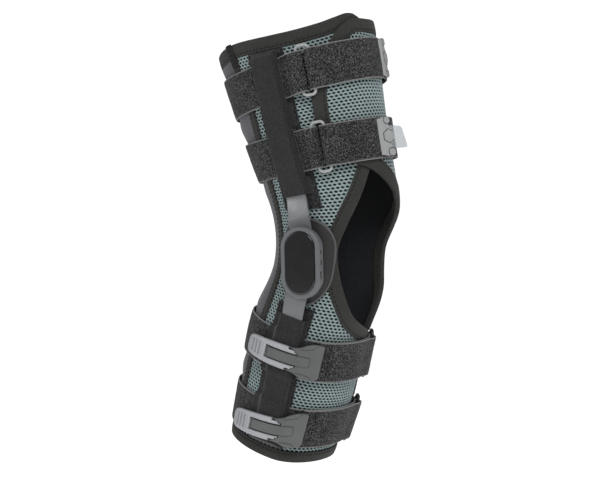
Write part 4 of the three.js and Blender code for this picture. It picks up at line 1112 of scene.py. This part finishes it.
def hinge_place(x, y, out):
    """From the hinge's own plane to the leg: across to the front, along and outward, leaned a little."""
    c, s = math.cos(math.radians(HINGE["lean"])), math.sin(math.radians(HINGE["lean"]))
    x, y = x * c - y * s, x * s + y * c
    return np.stack(np.broadcast_arrays(-out, HINGE["back"] - x, HINGE_ALONG + y), axis=-1)


def hinge_housing():
    """The wall's profile carried round the stadium. The slots press the wall in, and the wall's foot rises
    over the bars at both ends. Returns the patch and a mark that is 1 inside the slots, where the material
    paints shade."""
    radius, height = HOUSING_PROFILE[:, :1], HOUSING_PROFILE[:, 1:]
    inside = smooth_step(radius, HOUSING["recess"] + RECESS_EASE, HOUSING["recess"] - RECESS_EASE)
    straight = HOUSING["straight"] + (HOUSING["recess_straight"] - HOUSING["straight"]) * inside
    x, y = stadium(radius, straight, side=84)
    on_end = smooth_step(np.abs(x[WALL_FOOT]), CHANNEL_HALF + CHANNEL_EASE, CHANNEL_HALF)[None, :]
    height = np.where(height < CHANNEL_TOP, height + (CHANNEL_TOP - height) * on_end, height + 0 * x)
    on_front_wall = (x > CHANNEL_HALF + 0.5) & (radius > CHANNEL_HALF + 0.5)
    slot = np.zeros_like(x)
    for along, level, half_length, half_height in SLOTS:
        reach = np.maximum(np.abs(y - along) / half_length, np.abs(height - level) / half_height)
        slot = np.maximum(slot, smooth_step(reach, *SLOT_EDGE) * on_front_wall)
    x = x - SLOT_DEPTH * slot
    return turned_shell(hinge_place(x, y, ARM_OUT + height)), slot.ravel()


def hinge_plate():
    """A flat profile with a rounded edge carried round a stadium."""
    radius, depth = PLATE["radius"], PLATE["depth"]
    bevel, side = radius - PLATE["bevel"], radius - PLATE["side"]
    profile = np.array([
        [0, 0], [bevel, 0], [side, 0.15 * depth], [radius, depth / 2],
        [side, 0.85 * depth], [bevel, depth], [0, depth],
    ])
    x, y = stadium(profile[:, :1], PLATE["straight"])
    return turned_shell(hinge_place(x, y, PLATE["from"] + profile[:, 1:]))


# The slot mark paints shade near black inside the slots.
slate_plastic = moulded_material(
    "slate_plastic", (0.085, 0.09, 0.096), (0.065, 0.07, 0.075), per_metre=2600, roughness=0.42, bump=0.0001,
    mark=("slot", (0.006, 0.006, 0.006)),
)
for side, is_inner in SIDES:
    patch, slot = hinge_housing()
    patch = on_side(patch, is_inner)
    node = side + "_hinge_housing"
    weld(make_piece(node + "_shell", [patch], slate_plastic, [node], marks={"slot": slot}))
    patch = on_side(hinge_plate(), is_inner)
    node = side + "_hinge_plate"
    weld(make_piece(node + "_moulding", [patch], slate_plastic, [node]))


# Hinge caps. Glossy black plastic, slightly domed with a rounded edge, pressed into the housing's recess.
# The face is bare.
CAP = {"radius": 14.8, "straight": 14.3, "foot": 7.5, "edge": 9.15, "round": 0.85, "dome": 0.14}
cap_face = np.linspace(0.96, 0, 10)[:, None]
cap_flat = CAP["radius"] - CAP["round"]
CAP_PROFILE = np.concatenate([  # radius, height
    [[0, CAP["foot"]], [CAP["radius"] - 0.5, CAP["foot"]]],
    [[CAP["radius"] - 0.1, CAP["foot"] + 0.15], [CAP["radius"], CAP["foot"] + 0.5]],
    round_rows(cap_flat, CAP["edge"], CAP["round"], rim_turn),
    np.hstack([cap_face * cap_flat, CAP["edge"] + CAP["round"] + CAP["dome"] * (1 - cap_face**2)]),
])
gloss_black = moulded_material(
    "gloss_black", (0.008, 0.008, 0.009), (0.006, 0.006, 0.007), per_metre=400, roughness=0.12, bump=0.0,
    coat=0.4,
)
for side, is_inner in SIDES:
    x, y = stadium(CAP_PROFILE[:, :1], CAP["straight"])
    patch = on_side(turned_shell(hinge_place(x, y, ARM_OUT + CAP_PROFILE[:, 1:])), is_inner)
    node = side + "_hinge_cap"
    weld(make_piece(node + "_face", [patch], gloss_black, [node]))


# Straps. Four lengths of 38 mm black loop-pile webbing with paler cut edges. Each starts behind its ring,
# turns back over the ring's near bar, goes right round the leg, passes the far bar and folds back on itself.
STRAP_WIDTH, STRAP, GAP = 38, 1.6, 0.4
THIGH_RING, CALF_RING = 68.5, -45
STRAPS = [dict(zip(("name", "mid", "tilt", "rise", "ring", "turn", "end"), row)) for row in (
    ("thigh_strap_upper", 160, 6, 0, THIGH_RING, 1, -2),
    ("thigh_strap_lower", 91.5, 0, 0, THIGH_RING, 1, 18.5),
    ("calf_strap_upper", -101.5, 0, 3, CALF_RING, -1, 62),
    ("calf_strap_lower", -169, 2, 3, CALF_RING, -1, 62),
)]
RING = {
    "bar": 1.4, "spacing": 11.5, "end": 2.4, "clearance": 1.1, "step": 2.3, "calf_rise": 1.0, "corner": 3.6,
}
FOLD = RING["bar"] + RING["clearance"] + STRAP / 2
FOLD_REACH, FOLD_SINK = 4.5, 0.6
BED_EASE = {1: 8, -1: 26}  # degrees in which a thigh strap and a calf strap rise to the ring
TAIL = {"end": 14, "bend": 9.5, "lie": 18.6, "rows": (12.2, 15.4)}  # degrees from the ring
TAIL_RISE = {"share": 0.4, "fall": 1.9, "clear": 2.3, "sink": 2}  # heights on the way to and from the ring
TAIL_LAST = 140  # the tail lies in the route's rows before this one
RING_LIFT = {1: 10.1, -1: STRAP_LIFT + 4}  # where a degree is measured at a thigh ring and a calf ring
STITCH_RISE = 0.12
ROUND = {"from": 24, "short": 6, "seated": 2}  # degrees from the ring, and short of its far bar
PILE = {"rough": 0.09, "edge": 0.96, "pale_from": 0.955, "pale_to": 0.98}
ACROSS, SPACING = 25, 1.9  # points across a strap, and millimetres between rows
FLAP_TOP, FLAP_BINDING_TOP = 6.85, 8.1
THIGH_BED = np.array([  # angle, height
    [-60, STRAP_LIFT], [-22, FLAP_TOP], [4, FLAP_TOP], [15, FLAP_BINDING_TOP], [70, FLAP_BINDING_TOP],
])
nap_draw = np.random.default_rng(11)


def strap_along(strap, angle):
    """Height of a strap's middle line round the leg."""
    c = np.cos(np.radians(angle))
    return strap["mid"] + strap["tilt"] * c + strap["rise"] * c * c


def strap_bed(strap, angle):
    """What a strap lies on: the panel or, on the thigh's front, the flap and its binding."""
    return np.interp(angle, *THIGH_BED.T) if strap["turn"] > 0 else STRAP_LIFT + 0 * angle


def strap_route(strap):
    """The strap's middle line as rows of degrees away from its ring, lift and tautness: tail, near fold,
    once round, far fold, free end. Also the millimetres in a degree at the ring and the two bars' lifts."""
    ring, turn = strap["ring"], strap["turn"]
    on_thigh = turn > 0
    size = float(per_degree(strap["mid"], ring, RING_LIFT[turn]))
    bar = RING["spacing"] / 2 / size
    layer = STRAP / 2
    far = float(strap_bed(strap, ring - turn * bar)) + layer + FOLD + (0 if on_thigh else RING["calf_rise"])
    near = far - RING["step"] if on_thigh else far
    bed = STRAP_LIFT + layer
    arc = np.radians(np.linspace(-60, 60, 7))
    reach, rise, taut = FOLD_REACH * np.cos(arc) / size, FOLD * np.sin(arc), 1 + 0 * arc
    near_fold = np.stack([bar - reach, near + rise, taut], axis=1)
    far_bar = 360 - bar
    far_fold = np.stack([far_bar + reach, far + rise, taut], axis=1)
    ease = BED_EASE[turn]
    seat = (far_bar - ease, far_bar - ROUND["seated"])
    away = np.linspace(ROUND["from"], far_bar - ROUND["short"], 64)
    rest = strap_bed(strap, ring + turn * (away - 360)) + layer
    rest = rest + (far - FOLD - rest) * smooth_step(away, *seat)
    round_leg = np.stack([away, rest, 0 * away], axis=1)
    back = np.linspace(far_bar - ROUND["short"], far_bar - (abs(strap["end"] - ring) - bar), 20)
    second = strap_bed(strap, ring + turn * (back - 360)) + STRAP + GAP + layer
    second = second + (far + FOLD - FOLD_SINK - second) * smooth_step(back, *seat)
    rows = np.concatenate([
        [[TAIL["end"], bed, 0], [TAIL["bend"], bed + (near - FOLD - bed) * TAIL_RISE["share"], 0]],
        [[bar, near - FOLD, 1]],
        near_fold,
        [[bar, near + FOLD, 1], [TAIL["bend"], near + FOLD - TAIL_RISE["fall"], 0]],
        [[TAIL["end"], max(bed + TAIL_RISE["clear"], near - TAIL_RISE["sink"]), 0], [TAIL["lie"], bed, 0]],
        round_leg,
        [[far_bar, far - FOLD, 1]],
        far_fold,
        [[far_bar, far + FOLD, 1]],
        np.stack([back, second, 0 * back], axis=1),
    ])
    return rows, size, near, far


def strap_faces(strap):
    """A flat section with round edges carried along the route: laid round the leg, or straight across where
    the strap is taut at a fold. The pile stands a little unevenly. Returns both faces' grids of points, the
    edge mark, the route's rows, the middle surface and its normals."""
    rows, size, *_ = strap_route(strap)
    scale = [size, 1, 0.001]
    line = smooth_line(rows * scale, SPACING) / scale
    angle = strap["ring"] + strap["turn"] * line[:, 0]
    lift, taut = line[:, 1], np.clip(line[:, 2], 0, 1)[:, None, None]
    middle = strap_along(strap, angle)
    at = on_leg(middle, angle, lift)
    up = leg_frame(middle, angle, lift)[1]
    normal = unit(np.cross(np.gradient(at, axis=0), up))
    share = edge_crowded(ACROSS)
    across = share * STRAP_WIDTH / 2
    straight = at[:, None] + across[None, :, None] * up[:, None]
    laid = on_leg(middle[:, None] + across, angle[:, None], lift[:, None])
    sheet = laid * (1 - taut) + straight * taut
    half = STRAP / 2 * np.sqrt(np.clip(1 - np.abs(share) ** 24, 0.45, 1))
    pile = nap_draw.uniform(-PILE["rough"], PILE["rough"], (2, len(line), len(share)))
    pile = pile * (np.abs(share) < PILE["edge"])
    outer = sheet + (half + pile[0])[..., None] * normal[:, None]
    inner = sheet - (half + pile[1])[..., None] * normal[:, None]
    edge = smooth_step(np.abs(share), PILE["pale_from"], PILE["pale_to"])
    edge = np.broadcast_to(edge, (len(line), len(share)))
    mark = np.concatenate([edge, edge[:, ::-1]], axis=1).ravel()
    return outer, inner, mark, line, sheet, normal


strap_pile = fleck_material(
    "strap_pile", (0.006, 0.006, 0.0065), (0.16, 0.16, 0.163), per_metre=800, amount=0.72, bump=0.0007,
    roughness=0.95, sheen=0.05, mark=("edge", (0.18, 0.18, 0.182)),
)
strap_stitches = []
for strap in STRAPS:
    outer, inner, mark, line, sheet, normal = strap_faces(strap)
    piece = make_piece(
        strap["name"] + "_webbing", [thick_sheet(outer, inner)], strap_pile, [strap["name"]],
        marks={"edge": mark},
    )
    # Cross rows of stitches where the tail is sewn down, and at the free end of the calf straps.
    fold_end = int(np.argmin(line[:, 0]))
    rows = [fold_end + int(np.argmin(np.abs(line[fold_end:TAIL_LAST, 0] - away))) for away in TAIL["rows"]]
    rows += [] if strap["turn"] > 0 else [len(line) - 4, len(line) - 8]
    column = np.linspace(2, ACROSS - 3, 60)
    for row in rows:
        seam = np.stack([np.interp(column, np.arange(ACROSS), values) for values in sheet[row].T], axis=1)
        away_from_leg = leg_frame(strap_along(strap, 0), strap["ring"] + strap["turn"] * line[row, 0], 5.0)[2]
        face = normal[row] * np.sign((normal[row] * away_from_leg).sum())
        seam = seam + face * (STRAP / 2 + STITCH_RISE)
        strap_stitches.append(spindles(seam, np.broadcast_to(face, seam.shape)))
make_piece("strap_stitches", strap_stitches, sewing_thread)


# Rings. Moulded loops with round bars, light grey on the thigh and dark on the calf. The strap's two folds
# sit on the long bars, and the rounded ends stand out past the strap's edges.
def ring_loop(strap):
    """A round bar carried along a rectangle with rounded corners, leaned so that both bars lie in folds."""
    _, size, near, far = strap_route(strap)
    corner, bow = RING["corner"], np.linspace(0, np.pi / 2, 9)
    half_x, half_y = RING["spacing"] / 2 - corner, STRAP_WIDTH / 2 + RING["end"] + RING["bar"] - corner
    quarters = [
        np.stack([x * half_x + corner * np.cos(bow + turn), y * half_y + corner * np.sin(bow + turn)], axis=1)
        for x, y, turn in ((1, 1, 0), (-1, 1, np.pi / 2), (-1, -1, np.pi), (1, -1, 1.5 * np.pi))
    ]
    long_bars = [
        start[-1] + (end[0] - start[-1]) * np.linspace(0, 1, 14)[1:-1, None]
        for start, end in ((quarters[1], quarters[2]), (quarters[3], quarters[0]))
    ]
    line = np.concatenate([*quarters[:2], long_bars[0], *quarters[2:], long_bars[1]])
    along = unit(np.roll(line, -1, axis=0) - np.roll(line, 1, axis=0))
    tube = np.linspace(0, 2 * np.pi, 14, endpoint=False)
    local_x = line[:, :1] + RING["bar"] * np.cos(tube) * along[:, 1:]
    local_y = line[:, 1:] - RING["bar"] * np.cos(tube) * along[:, :1]
    local_z = RING["bar"] * np.sin(tube) + 0 * local_x
    middle = strap_along(strap, strap["ring"])
    around, up, out = leg_frame(middle, float(strap["ring"]), near)
    sag = (RING["spacing"] / 2) ** 2 / (2 * size / math.radians(1))
    seat = on_leg(middle, strap["ring"], (near + far) / 2 - sag)
    lean = -strap["turn"] * math.atan2(far - near, RING["spacing"])
    flat = local_x * math.cos(lean) + local_z * math.sin(lean)
    tall = -local_x * math.sin(lean) + local_z * math.cos(lean)
    points = seat - flat[..., None] * around + local_y[..., None] * up + tall[..., None] * out
    return outward(points.reshape(-1, 3), grid_faces(len(line), len(tube), True, True))


pale_ring = moulded_material(
    "ring_plastic", (0.27, 0.275, 0.275), (0.2, 0.205, 0.205), per_metre=1500, roughness=0.4, bump=0.00008,
)
dark_ring = moulded_material(
    "dark_ring_plastic", (0.02, 0.02, 0.021), (0.014, 0.014, 0.015), per_metre=1500, roughness=0.3,
    bump=0.00008,
)
for strap in STRAPS:
    node = strap["name"] + "_ring"
    plastic = pale_ring if strap["turn"] > 0 else dark_ring
    make_piece(node + "_loop", [ring_loop(strap)], plastic, [node])


# Tabs and pulls. At the free end of each thigh strap: a grey plastic plate with two round corner pads and
# a bare six-sided pad in the middle, clamped on a clear plastic pull. The lower one stands off the leg.
TAB = {"half": 18.6, "reach": 12.4, "thick": 2.0, "rise": (0, 3.4), "foot": (3.4, 4.0)}
TAB_NECK = {"share": 0.91, "run": (1, 9)}  # width at the strap, and where it grows to the whole
TAB_EDGE = {"width": 0.9, "depth": 0.7, "under": 0.3}
CORNER_PAD = {"run": 11, "across": 15, "radius": 3.4, "rise": 0.45, "swell": 2.4, "swell_half": 3.9}
SIX_PAD = {"run": 10.4, "half": 5.5, "rise": 0.5, "swell": 4.4, "swell_half": 7.4}
GROOVE = {"half": 0.5, "deep": 0.35, "gap": 0.4, "slope": 0.2}
TAB_STAND = {  # how far each tab lies straight instead of round the leg, and its tilt and twist in degrees
    "thigh_strap_upper": {"straight": 0, "tilt": 0, "twist": 0},
    "thigh_strap_lower": {"straight": 1, "tilt": 16, "twist": 11},
}
PULL = {
    "start": 5.0, "length": 23.5, "half": 11.5, "thick": 1.0, "skew": 2.5,
    "taper": 1.2, "round": 0.22, "round_from": 0.9,
}


def bulge(distance, radius):
    """Height of a circle's edge over its middle line, nothing outside the radius."""
    return np.sqrt(np.clip(1 - (distance / radius) ** 2, 0, 1))


def face_mark(values):
    """A mark for each point of a thick sheet: the values on its outer face, nothing on its inner one."""
    return np.concatenate([values, 0 * values], axis=1).ravel()


def edge_drop(edge, width, depth):
    """How far a rounded edge falls below the face: a quarter ellipse of that width and depth."""
    inset = 1 - np.clip(edge / width, 0, 1)
    return depth * (1 - np.sqrt(np.clip(1 - inset**2, 0, 1)))


def tab_place(strap, run, across, lift):
    """From the tab's own run past the strap's end to the leg: bent round it, or straight on along the
    tangent, tilted away from the leg and more so at its lower corner."""
    end, bed = float(strap["end"]), float(strap_bed(strap, strap["end"])) + STRAP + GAP
    angle = end - (run + GAP) / per_degree(strap["mid"], end, FLAP_TOP)
    bent = on_leg(strap_along(strap, angle) + across, angle, bed + lift)
    middle = strap_along(strap, end)
    around, up, out = leg_frame(middle, end, bed)
    stand = TAB_STAND[strap["name"]]
    tilt = np.radians(stand["tilt"] - stand["twist"] * across / TAB["half"])
    tall = (lift * np.cos(tilt) + run * np.sin(tilt))[..., None] * out
    flat = ((run + GAP) * np.cos(tilt) - lift * np.sin(tilt))[..., None] * around
    straight = on_leg(middle, end, bed) - flat + (across + 0 * run)[..., None] * up + tall
    return bent + (straight - bent) * stand["straight"]


def tab_plate(strap):
    """A plate whose far edge swells at the pads. The pads stand proud inside thin grooves, which are
    darkened with painted shade, and all edges are rounded. Returns the patch and the groove mark of that
    painted shade."""
    across = edge_crowded(97, 0.92) * TAB["half"]
    y = np.abs(across)
    from_corner = y - CORNER_PAD["across"]
    reach = TAB["reach"] + CORNER_PAD["swell"] * bulge(from_corner, CORNER_PAD["swell_half"])
    reach = reach + SIX_PAD["swell"] * bulge(y, SIX_PAD["swell_half"])
    run = np.linspace(0, 1, 45)[:, None] * reach
    corner = np.hypot(run - CORNER_PAD["run"], from_corner) - CORNER_PAD["radius"]
    from_six = np.abs(run - SIX_PAD["run"])
    six = np.maximum(y * math.cos(math.radians(30)) + from_six / 2, from_six) - SIX_PAD["half"]
    slope = (GROOVE["slope"], -GROOVE["slope"])
    pads = CORNER_PAD["rise"] * smooth_step(corner, *slope) + SIX_PAD["rise"] * smooth_step(six, *slope)
    groove = bulge(np.minimum(np.abs(corner - GROOVE["gap"]), np.abs(six - GROOVE["gap"])), GROOVE["half"])
    edge = np.minimum(np.minimum(TAB["half"] - y, reach - run), run + GAP)
    drop = edge_drop(edge, TAB_EDGE["width"], TAB_EDGE["depth"])
    top = TAB["thick"] + smooth_step(run, *TAB["rise"]) + pads - GROOVE["deep"] * groove - drop
    low = (PULL["thick"] + GAP) * smooth_step(run, *TAB["foot"]) + TAB_EDGE["under"] * drop
    across = across * (1 - (1 - TAB_NECK["share"]) * (1 - smooth_step(run, *TAB_NECK["run"])))
    plate = thick_sheet(*(tab_place(strap, run, across, lift) for lift in (top, low)))
    return plate, face_mark(groove)


def tab_pull(strap):
    """A thin tongue, a little skewed, with a rounded end."""
    part = np.linspace(0, 1, 40)[:, None]
    end = bulge(np.clip(part - PULL["round_from"], 0, 1), 1 - PULL["round_from"])
    half = (PULL["half"] - PULL["taper"] * part) * (1 - PULL["round"] * (1 - end))
    across = np.linspace(-1, 1, 25)[None, :] * half - PULL["skew"] * part
    run = PULL["start"] + part * PULL["length"]
    return thick_sheet(*(tab_place(strap, run, across, lift) for lift in (PULL["thick"], 0.0)))


# The groove mark paints shade near black into the grooves round the pads.
tab_plastic = moulded_material(
    "tab_plastic", (0.24, 0.243, 0.245), (0.19, 0.193, 0.195), per_metre=2000, roughness=0.42, bump=0.0001,
    mark=("groove", (0.02, 0.02, 0.021)),
)
clear_plastic = moulded_material(
    "clear_plastic", (0.3, 0.33, 0.355), (0.26, 0.29, 0.31), per_metre=900, roughness=0.16, bump=0.00004,
    opacity=0.45,
)
for strap in STRAPS[:2]:
    patch, groove = tab_plate(strap)
    node = strap["name"] + "_tab"
    make_piece(node + "_plate", [patch], tab_plastic, [node], marks={"groove": groove})
    node = strap["name"] + "_pull"
    make_piece(node + "_tongue", [tab_pull(strap)], clear_plastic, [node])


# Buckles. On each calf strap's free end: a dark grey moulded body whose long tongue, with a bare sunk-edged
# field, runs between the prongs of a lighter grey grip. Four ribs cross the grip's rounded end.
BUCKLE = {"start": 57, "span": 72, "face": 2.65, "shoulder": 2.6, "grip": 3.45, "slot": 5.9}
SLOT_END, TONGUE_END, MM_PER_PART = 0.745, 0.735, 78
BUCKLE_FIELD = {
    "middle": 35, "half_length": 18.6, "half_width": 2.5, "corner": 2.05, "rise": 0.35, "slope": 0.15,
    "groove": 2.35,
}
BUCKLE_GROOVE = {"half": 0.45, "deep": 0.3}
BUCKLE_EDGE = {"width": 1.3, "depth": 1.1, "grip_width": 1.2, "under": 0.2, "end": 0.3}
BUCKLE_DROOP = {"calf_strap_upper": 3, "calf_strap_lower": 8}
BUCKLE_LIFT = np.array([[0, 8.2], [0.16, 10], [0.3, 11.6], [0.8, 11.6], [1, 10.6]])  # part, lift
BUCKLE_BODY = np.array([  # part, half width
    [0, 15.2], [0.012, 15.9], [0.04, 16.7], [0.1, 17.3], [0.16, 17.4], [0.22, 16.8], [0.28, 15.4],
    [0.34, 13.1], [0.352, 12.8], [0.364, 5.45], [0.5, 5.45], [0.72, 5.4], [0.73, 5.0], [TONGUE_END, 4.4],
])
BUCKLE_LINE = np.array([  # part, half width
    [0.1, 17.5], [0.125, 15.2], [0.16, 13.4], [0.21, 12.4], [0.3, 11.6], [0.36, 11],
])
BUCKLE_GRIP = np.array([[0.36, 11.2], [0.5, 11.3], [0.65, 11.1], [SLOT_END, 10.7]])  # part, half width
GRIP_END = np.array([  # part, half width, round the grip's end
    [SLOT_END, 10.7], [0.83, 10.2], [0.92, 9.5], [0.965, 8.5], [0.99, 7.0], [1, 5.0], [1.004, 2.5],
    [1.005, 0],
])
GRIP_RIBS = 0.79 + 0.05 * np.arange(4)
RIB = {"half": 0.75, "height": 0.55, "reach": (7.0, 6.2)}
# where painted shade darkens the grip between its ribs
RIB_VALLEY_SHADE = {"half": 6.6, "from": 0.772, "to": 0.96, "fade": (0.55, 0.05)}
PRONG, PRONG_TIP = 3.9, 0.378  # width of a prong, and the part where its tip starts
PRONG_STEPS = ((0.035, (0.18, 0.24)), (0.08, (0.5, 0.58)))  # part, and over which share of the width
SHOULDER_FOOT, SHOULDER_STEPS = 7.15, ((1.8, (0.4, 0.406)), (1.9, (0.42, 0.488)))  # half width, steps by part
SHOULDER = np.array([  # part, half width
    [0.33, 13.4], [0.36, 12.6], [0.4, 11.9], [0.45, 11.35], [0.49, 11.1],
])


def buckle_place(strap, part, across, lift):
    """From the buckle's own length and width to the leg; the tip hangs a little."""
    angle = BUCKLE["start"] + BUCKLE["span"] * part
    along = strap_along(strap, angle) - BUCKLE_DROOP[strap["name"]] * part + across
    return on_leg(along, angle, np.interp(part, *BUCKLE_LIFT.T) + lift)


def buckle_sheet(strap, part, across, top, drop):
    """A closed moulding between a top face and an underside that follows the rounded edges a little."""
    under = BUCKLE_EDGE["under"] * drop + 0 * part
    return thick_sheet(*(buckle_place(strap, part, across, lift) for lift in (top, under)))


def runs(*pieces):
    """One column of even runs, each given as its start, its end and its count."""
    return np.concatenate([np.linspace(*piece) for piece in pieces])[:, None]


def buckle_body(strap):
    """A plate with rounded edges, a raised field with a groove round it and one curved line on each side.
    Returns the patch and a mark that paints shade into the groove and the lines.
    """
    part = runs((0, 0.34, 46), (0.345, 0.37, 10), (0.375, TONGUE_END, 58))
    half = np.interp(part, *BUCKLE_BODY.T)
    across = edge_crowded(63, 0.9) * half
    y, x = np.abs(across), part * MM_PER_PART
    past_side = np.clip(y - BUCKLE_FIELD["half_width"], 0, None)
    past_end = np.clip(np.abs(x - BUCKLE_FIELD["middle"]) - BUCKLE_FIELD["half_length"], 0, None)
    corner = np.hypot(past_side, past_end)
    slope = BUCKLE_FIELD["slope"]
    field = BUCKLE_FIELD["rise"] * smooth_step(corner - BUCKLE_FIELD["corner"], slope, -slope)
    line = np.abs(y - np.interp(part, *BUCKLE_LINE.T))
    on_line = (part > BUCKLE_LINE[0, 0]) & (part < BUCKLE_LINE[-1, 0])
    groove = np.maximum(
        bulge(corner - BUCKLE_FIELD["groove"], BUCKLE_GROOVE["half"]),
        bulge(line, BUCKLE_GROOVE["half"]) * on_line,
    )
    ends = np.minimum(x, TONGUE_END * MM_PER_PART - x) + BUCKLE_EDGE["end"]
    drop = edge_drop(np.minimum(half - y, ends), BUCKLE_EDGE["width"], BUCKLE_EDGE["depth"])
    top = BUCKLE["face"] + field - BUCKLE_GROOVE["deep"] * groove - drop
    return buckle_sheet(strap, part, across, top, drop), face_mark(groove)


def buckle_shoulder(strap, side):
    """A wedge of the body beside a prong's stepped tip, thinning to a point along the prong's outer edge."""
    part = runs((0.33, 0.398, 12), (0.4, 0.406, 5), (0.41, 0.488, 16))
    high = np.interp(part, *SHOULDER.T)
    low = SHOULDER_FOOT + sum(rise * smooth_step(part, *span) for rise, span in SHOULDER_STEPS)
    low = np.minimum(low, high - 0.2)
    w = np.linspace(0, 1, 13)[None, :]
    across = side * (low + (high - low) * w)
    drop = edge_drop((1 - w) * (high - low), BUCKLE_EDGE["width"], BUCKLE_EDGE["depth"])
    return buckle_sheet(strap, part, across, BUCKLE["shoulder"] - drop, drop)


def buckle_grip(strap):
    """A horseshoe between the slot's outline and the grip's outline: two prongs with stepped tips and the
    rounded end with its ribs. Returns the patch and a mark of painted shade between the ribs."""
    w = np.linspace(0, 1, 37)[None, :]
    t = np.linspace(0, 1, 38)[:, None]
    tip = PRONG_TIP + sum(back * smooth_step(w, *span) for back, span in PRONG_STEPS)
    prong_part = tip + (SLOT_END - tip) * t
    outer_half = np.interp(prong_part, *BUCKLE_GRIP.T)
    prong_across = BUCKLE["slot"] + (outer_half - BUCKLE["slot"]) * w
    right = GRIP_END * [MM_PER_PART, 1]
    bow = smooth_line(np.concatenate([right, right[-2::-1] * [1, -1]]), 0.5)
    inside = np.interp(np.linspace(0, 1, len(bow)), [0, 1], [BUCKLE["slot"], -BUCKLE["slot"]])[:, None]
    end_part = SLOT_END + (bow[:, :1] / MM_PER_PART - SLOT_END) * w
    end_across = inside + (bow[:, 1:] - inside) * w
    part = np.concatenate([prong_part, end_part[1:-1], prong_part[::-1]])
    across = np.concatenate([prong_across, end_across[1:-1], -prong_across[::-1]])
    ribs = np.exp(-(((part[..., None] - GRIP_RIBS) * MM_PER_PART / RIB["half"]) ** 2)).sum(axis=-1)
    ribs = ribs * smooth_step(np.abs(across), *RIB["reach"])
    edge = np.minimum(w * PRONG, (1 - w) * np.maximum(PRONG, (part - SLOT_END) * MM_PER_PART))
    drop = edge_drop(edge, BUCKLE_EDGE["grip_width"], BUCKLE_EDGE["depth"])
    top = BUCKLE["grip"] - drop + RIB["height"] * ribs
    # painted shade between the ribs on the grip's end
    on_ribs = (np.abs(across) < RIB_VALLEY_SHADE["half"]) & (part > RIB_VALLEY_SHADE["from"]) & (part < RIB_VALLEY_SHADE["to"])
    rib_valley_shade = smooth_step(ribs, *RIB_VALLEY_SHADE["fade"]) * on_ribs
    return buckle_sheet(strap, part, across, top, drop), face_mark(rib_valley_shade)


# The groove mark paints shade into the groove round the field and along the curved lines.
buckle_plastic = moulded_material(
    "buckle_plastic", (0.07, 0.072, 0.072), (0.054, 0.056, 0.056), per_metre=2400, roughness=0.45,
    bump=0.0001, mark=("groove", (0.012, 0.012, 0.012)),
)
# The rib valley mark paints shade in a darker grey between the ribs.
grip_plastic = moulded_material(
    "grip_plastic", (0.27, 0.275, 0.29), (0.22, 0.225, 0.24), per_metre=2200, roughness=0.42, bump=0.0001,
    mark=("rib_valley_shade", (0.16, 0.163, 0.175)),
)
for strap in STRAPS[2:]:
    patch, groove = buckle_body(strap)
    node = strap["name"] + "_buckle"
    shoulders = [buckle_shoulder(strap, side) for side in (-1, 1)]
    groove = np.concatenate([groove, np.zeros(sum(len(s[0]) for s in shoulders))])
    body = [patch, *shoulders]
    make_piece(node + "_body", body, buckle_plastic, [node], marks={"groove": groove})
    patch, rib_valley_shade = buckle_grip(strap)
    node = strap["name"] + "_grip"
    make_piece(node + "_fork", [patch], grip_plastic, [node], marks={"rib_valley_shade": rib_valley_shade})


# Stage. A glowing white floor at standing height below the knee, a white surround that is dimmer in
# reflections than to the camera, and soft lamps: the main one high in front, and two that fill the sides.
FLOOR_DROP, FLOOR_HALF = -0.48, 2.2
FLOOR_PAINT = {
    "Base Color": (0.93, 0.93, 0.93, 1), "Roughness": 0.9,
    "Emission Color": (1, 1, 1, 1), "Emission Strength": 0.7,
}
SEEN_WHITE, LIGHT_WHITE, GLOSS_SHARE = 1.05, 0.38, 0.45
LAMPS = [  # name, place in metres, width, watts
    ("key_lamp", (-0.97, -0.7, 1.01), 0.66, 16.5),
    ("front_lamp", (0.9, -2.6, 0.8), 1.6, 12),
    ("side_lamp", (-1.75, 1.75, 0.6), 0.8, 16),
]
floor_mesh = bpy.data.meshes.new("floor")
floor_corners = np.array([[-1, -1], [1, -1], [1, 1], [-1, 1]]) * FLOOR_HALF
floor_mesh.from_pydata([(x, y, FLOOR_DROP) for x, y in floor_corners.tolist()], [], [(0, 1, 2, 3)])
floor = bpy.data.objects.new("floor", floor_mesh)
scene.collection.objects.link(floor)
floor_paint = bpy.data.materials.new("floor_paint")
floor_paint.use_nodes = True
for socket, value in FLOOR_PAINT.items():
    floor_paint.node_tree.nodes["Principled BSDF"].inputs[socket].default_value = value
floor_mesh.materials.append(floor_paint)
for name, place, width, watts in LAMPS:
    lamp = bpy.data.lights.new(name, "AREA")
    lamp.shape, lamp.size, lamp.energy = "DISK", width, watts
    stand = bpy.data.objects.new(name, lamp)
    scene.collection.objects.link(stand)
    aim = -unit(np.array(place))
    across = unit(np.cross(aim, [0, 0, 1]))
    stand.matrix_world = standing(across, np.cross(across, aim), -aim, place)
surround = bpy.data.worlds.new("surround")
surround.use_nodes = True
sky = surround.node_tree.nodes["Background"]
sky.inputs["Color"].default_value = (1, 1, 1, 1)
ray = add_node(surround.node_tree, "ShaderNodeLightPath")
seen = add_node(surround.node_tree, "ShaderNodeMapRange", [
    ("Value", ray.outputs["Is Camera Ray"]), ("To Min", LIGHT_WHITE), ("To Max", SEEN_WHITE),
])
dimmed = add_node(surround.node_tree, "ShaderNodeMapRange", [
    ("Value", ray.outputs["Is Glossy Ray"]), ("To Min", 1.0), ("To Max", GLOSS_SHARE),
])
glow = add_node(surround.node_tree, "ShaderNodeMath", [
    (0, seen.outputs["Result"]), (1, dimmed.outputs["Result"]),
], operation="MULTIPLY")
surround.node_tree.links.new(glow.outputs[0], sky.inputs["Strength"])
scene.world = surround
scene.view_settings.view_transform = "Standard"
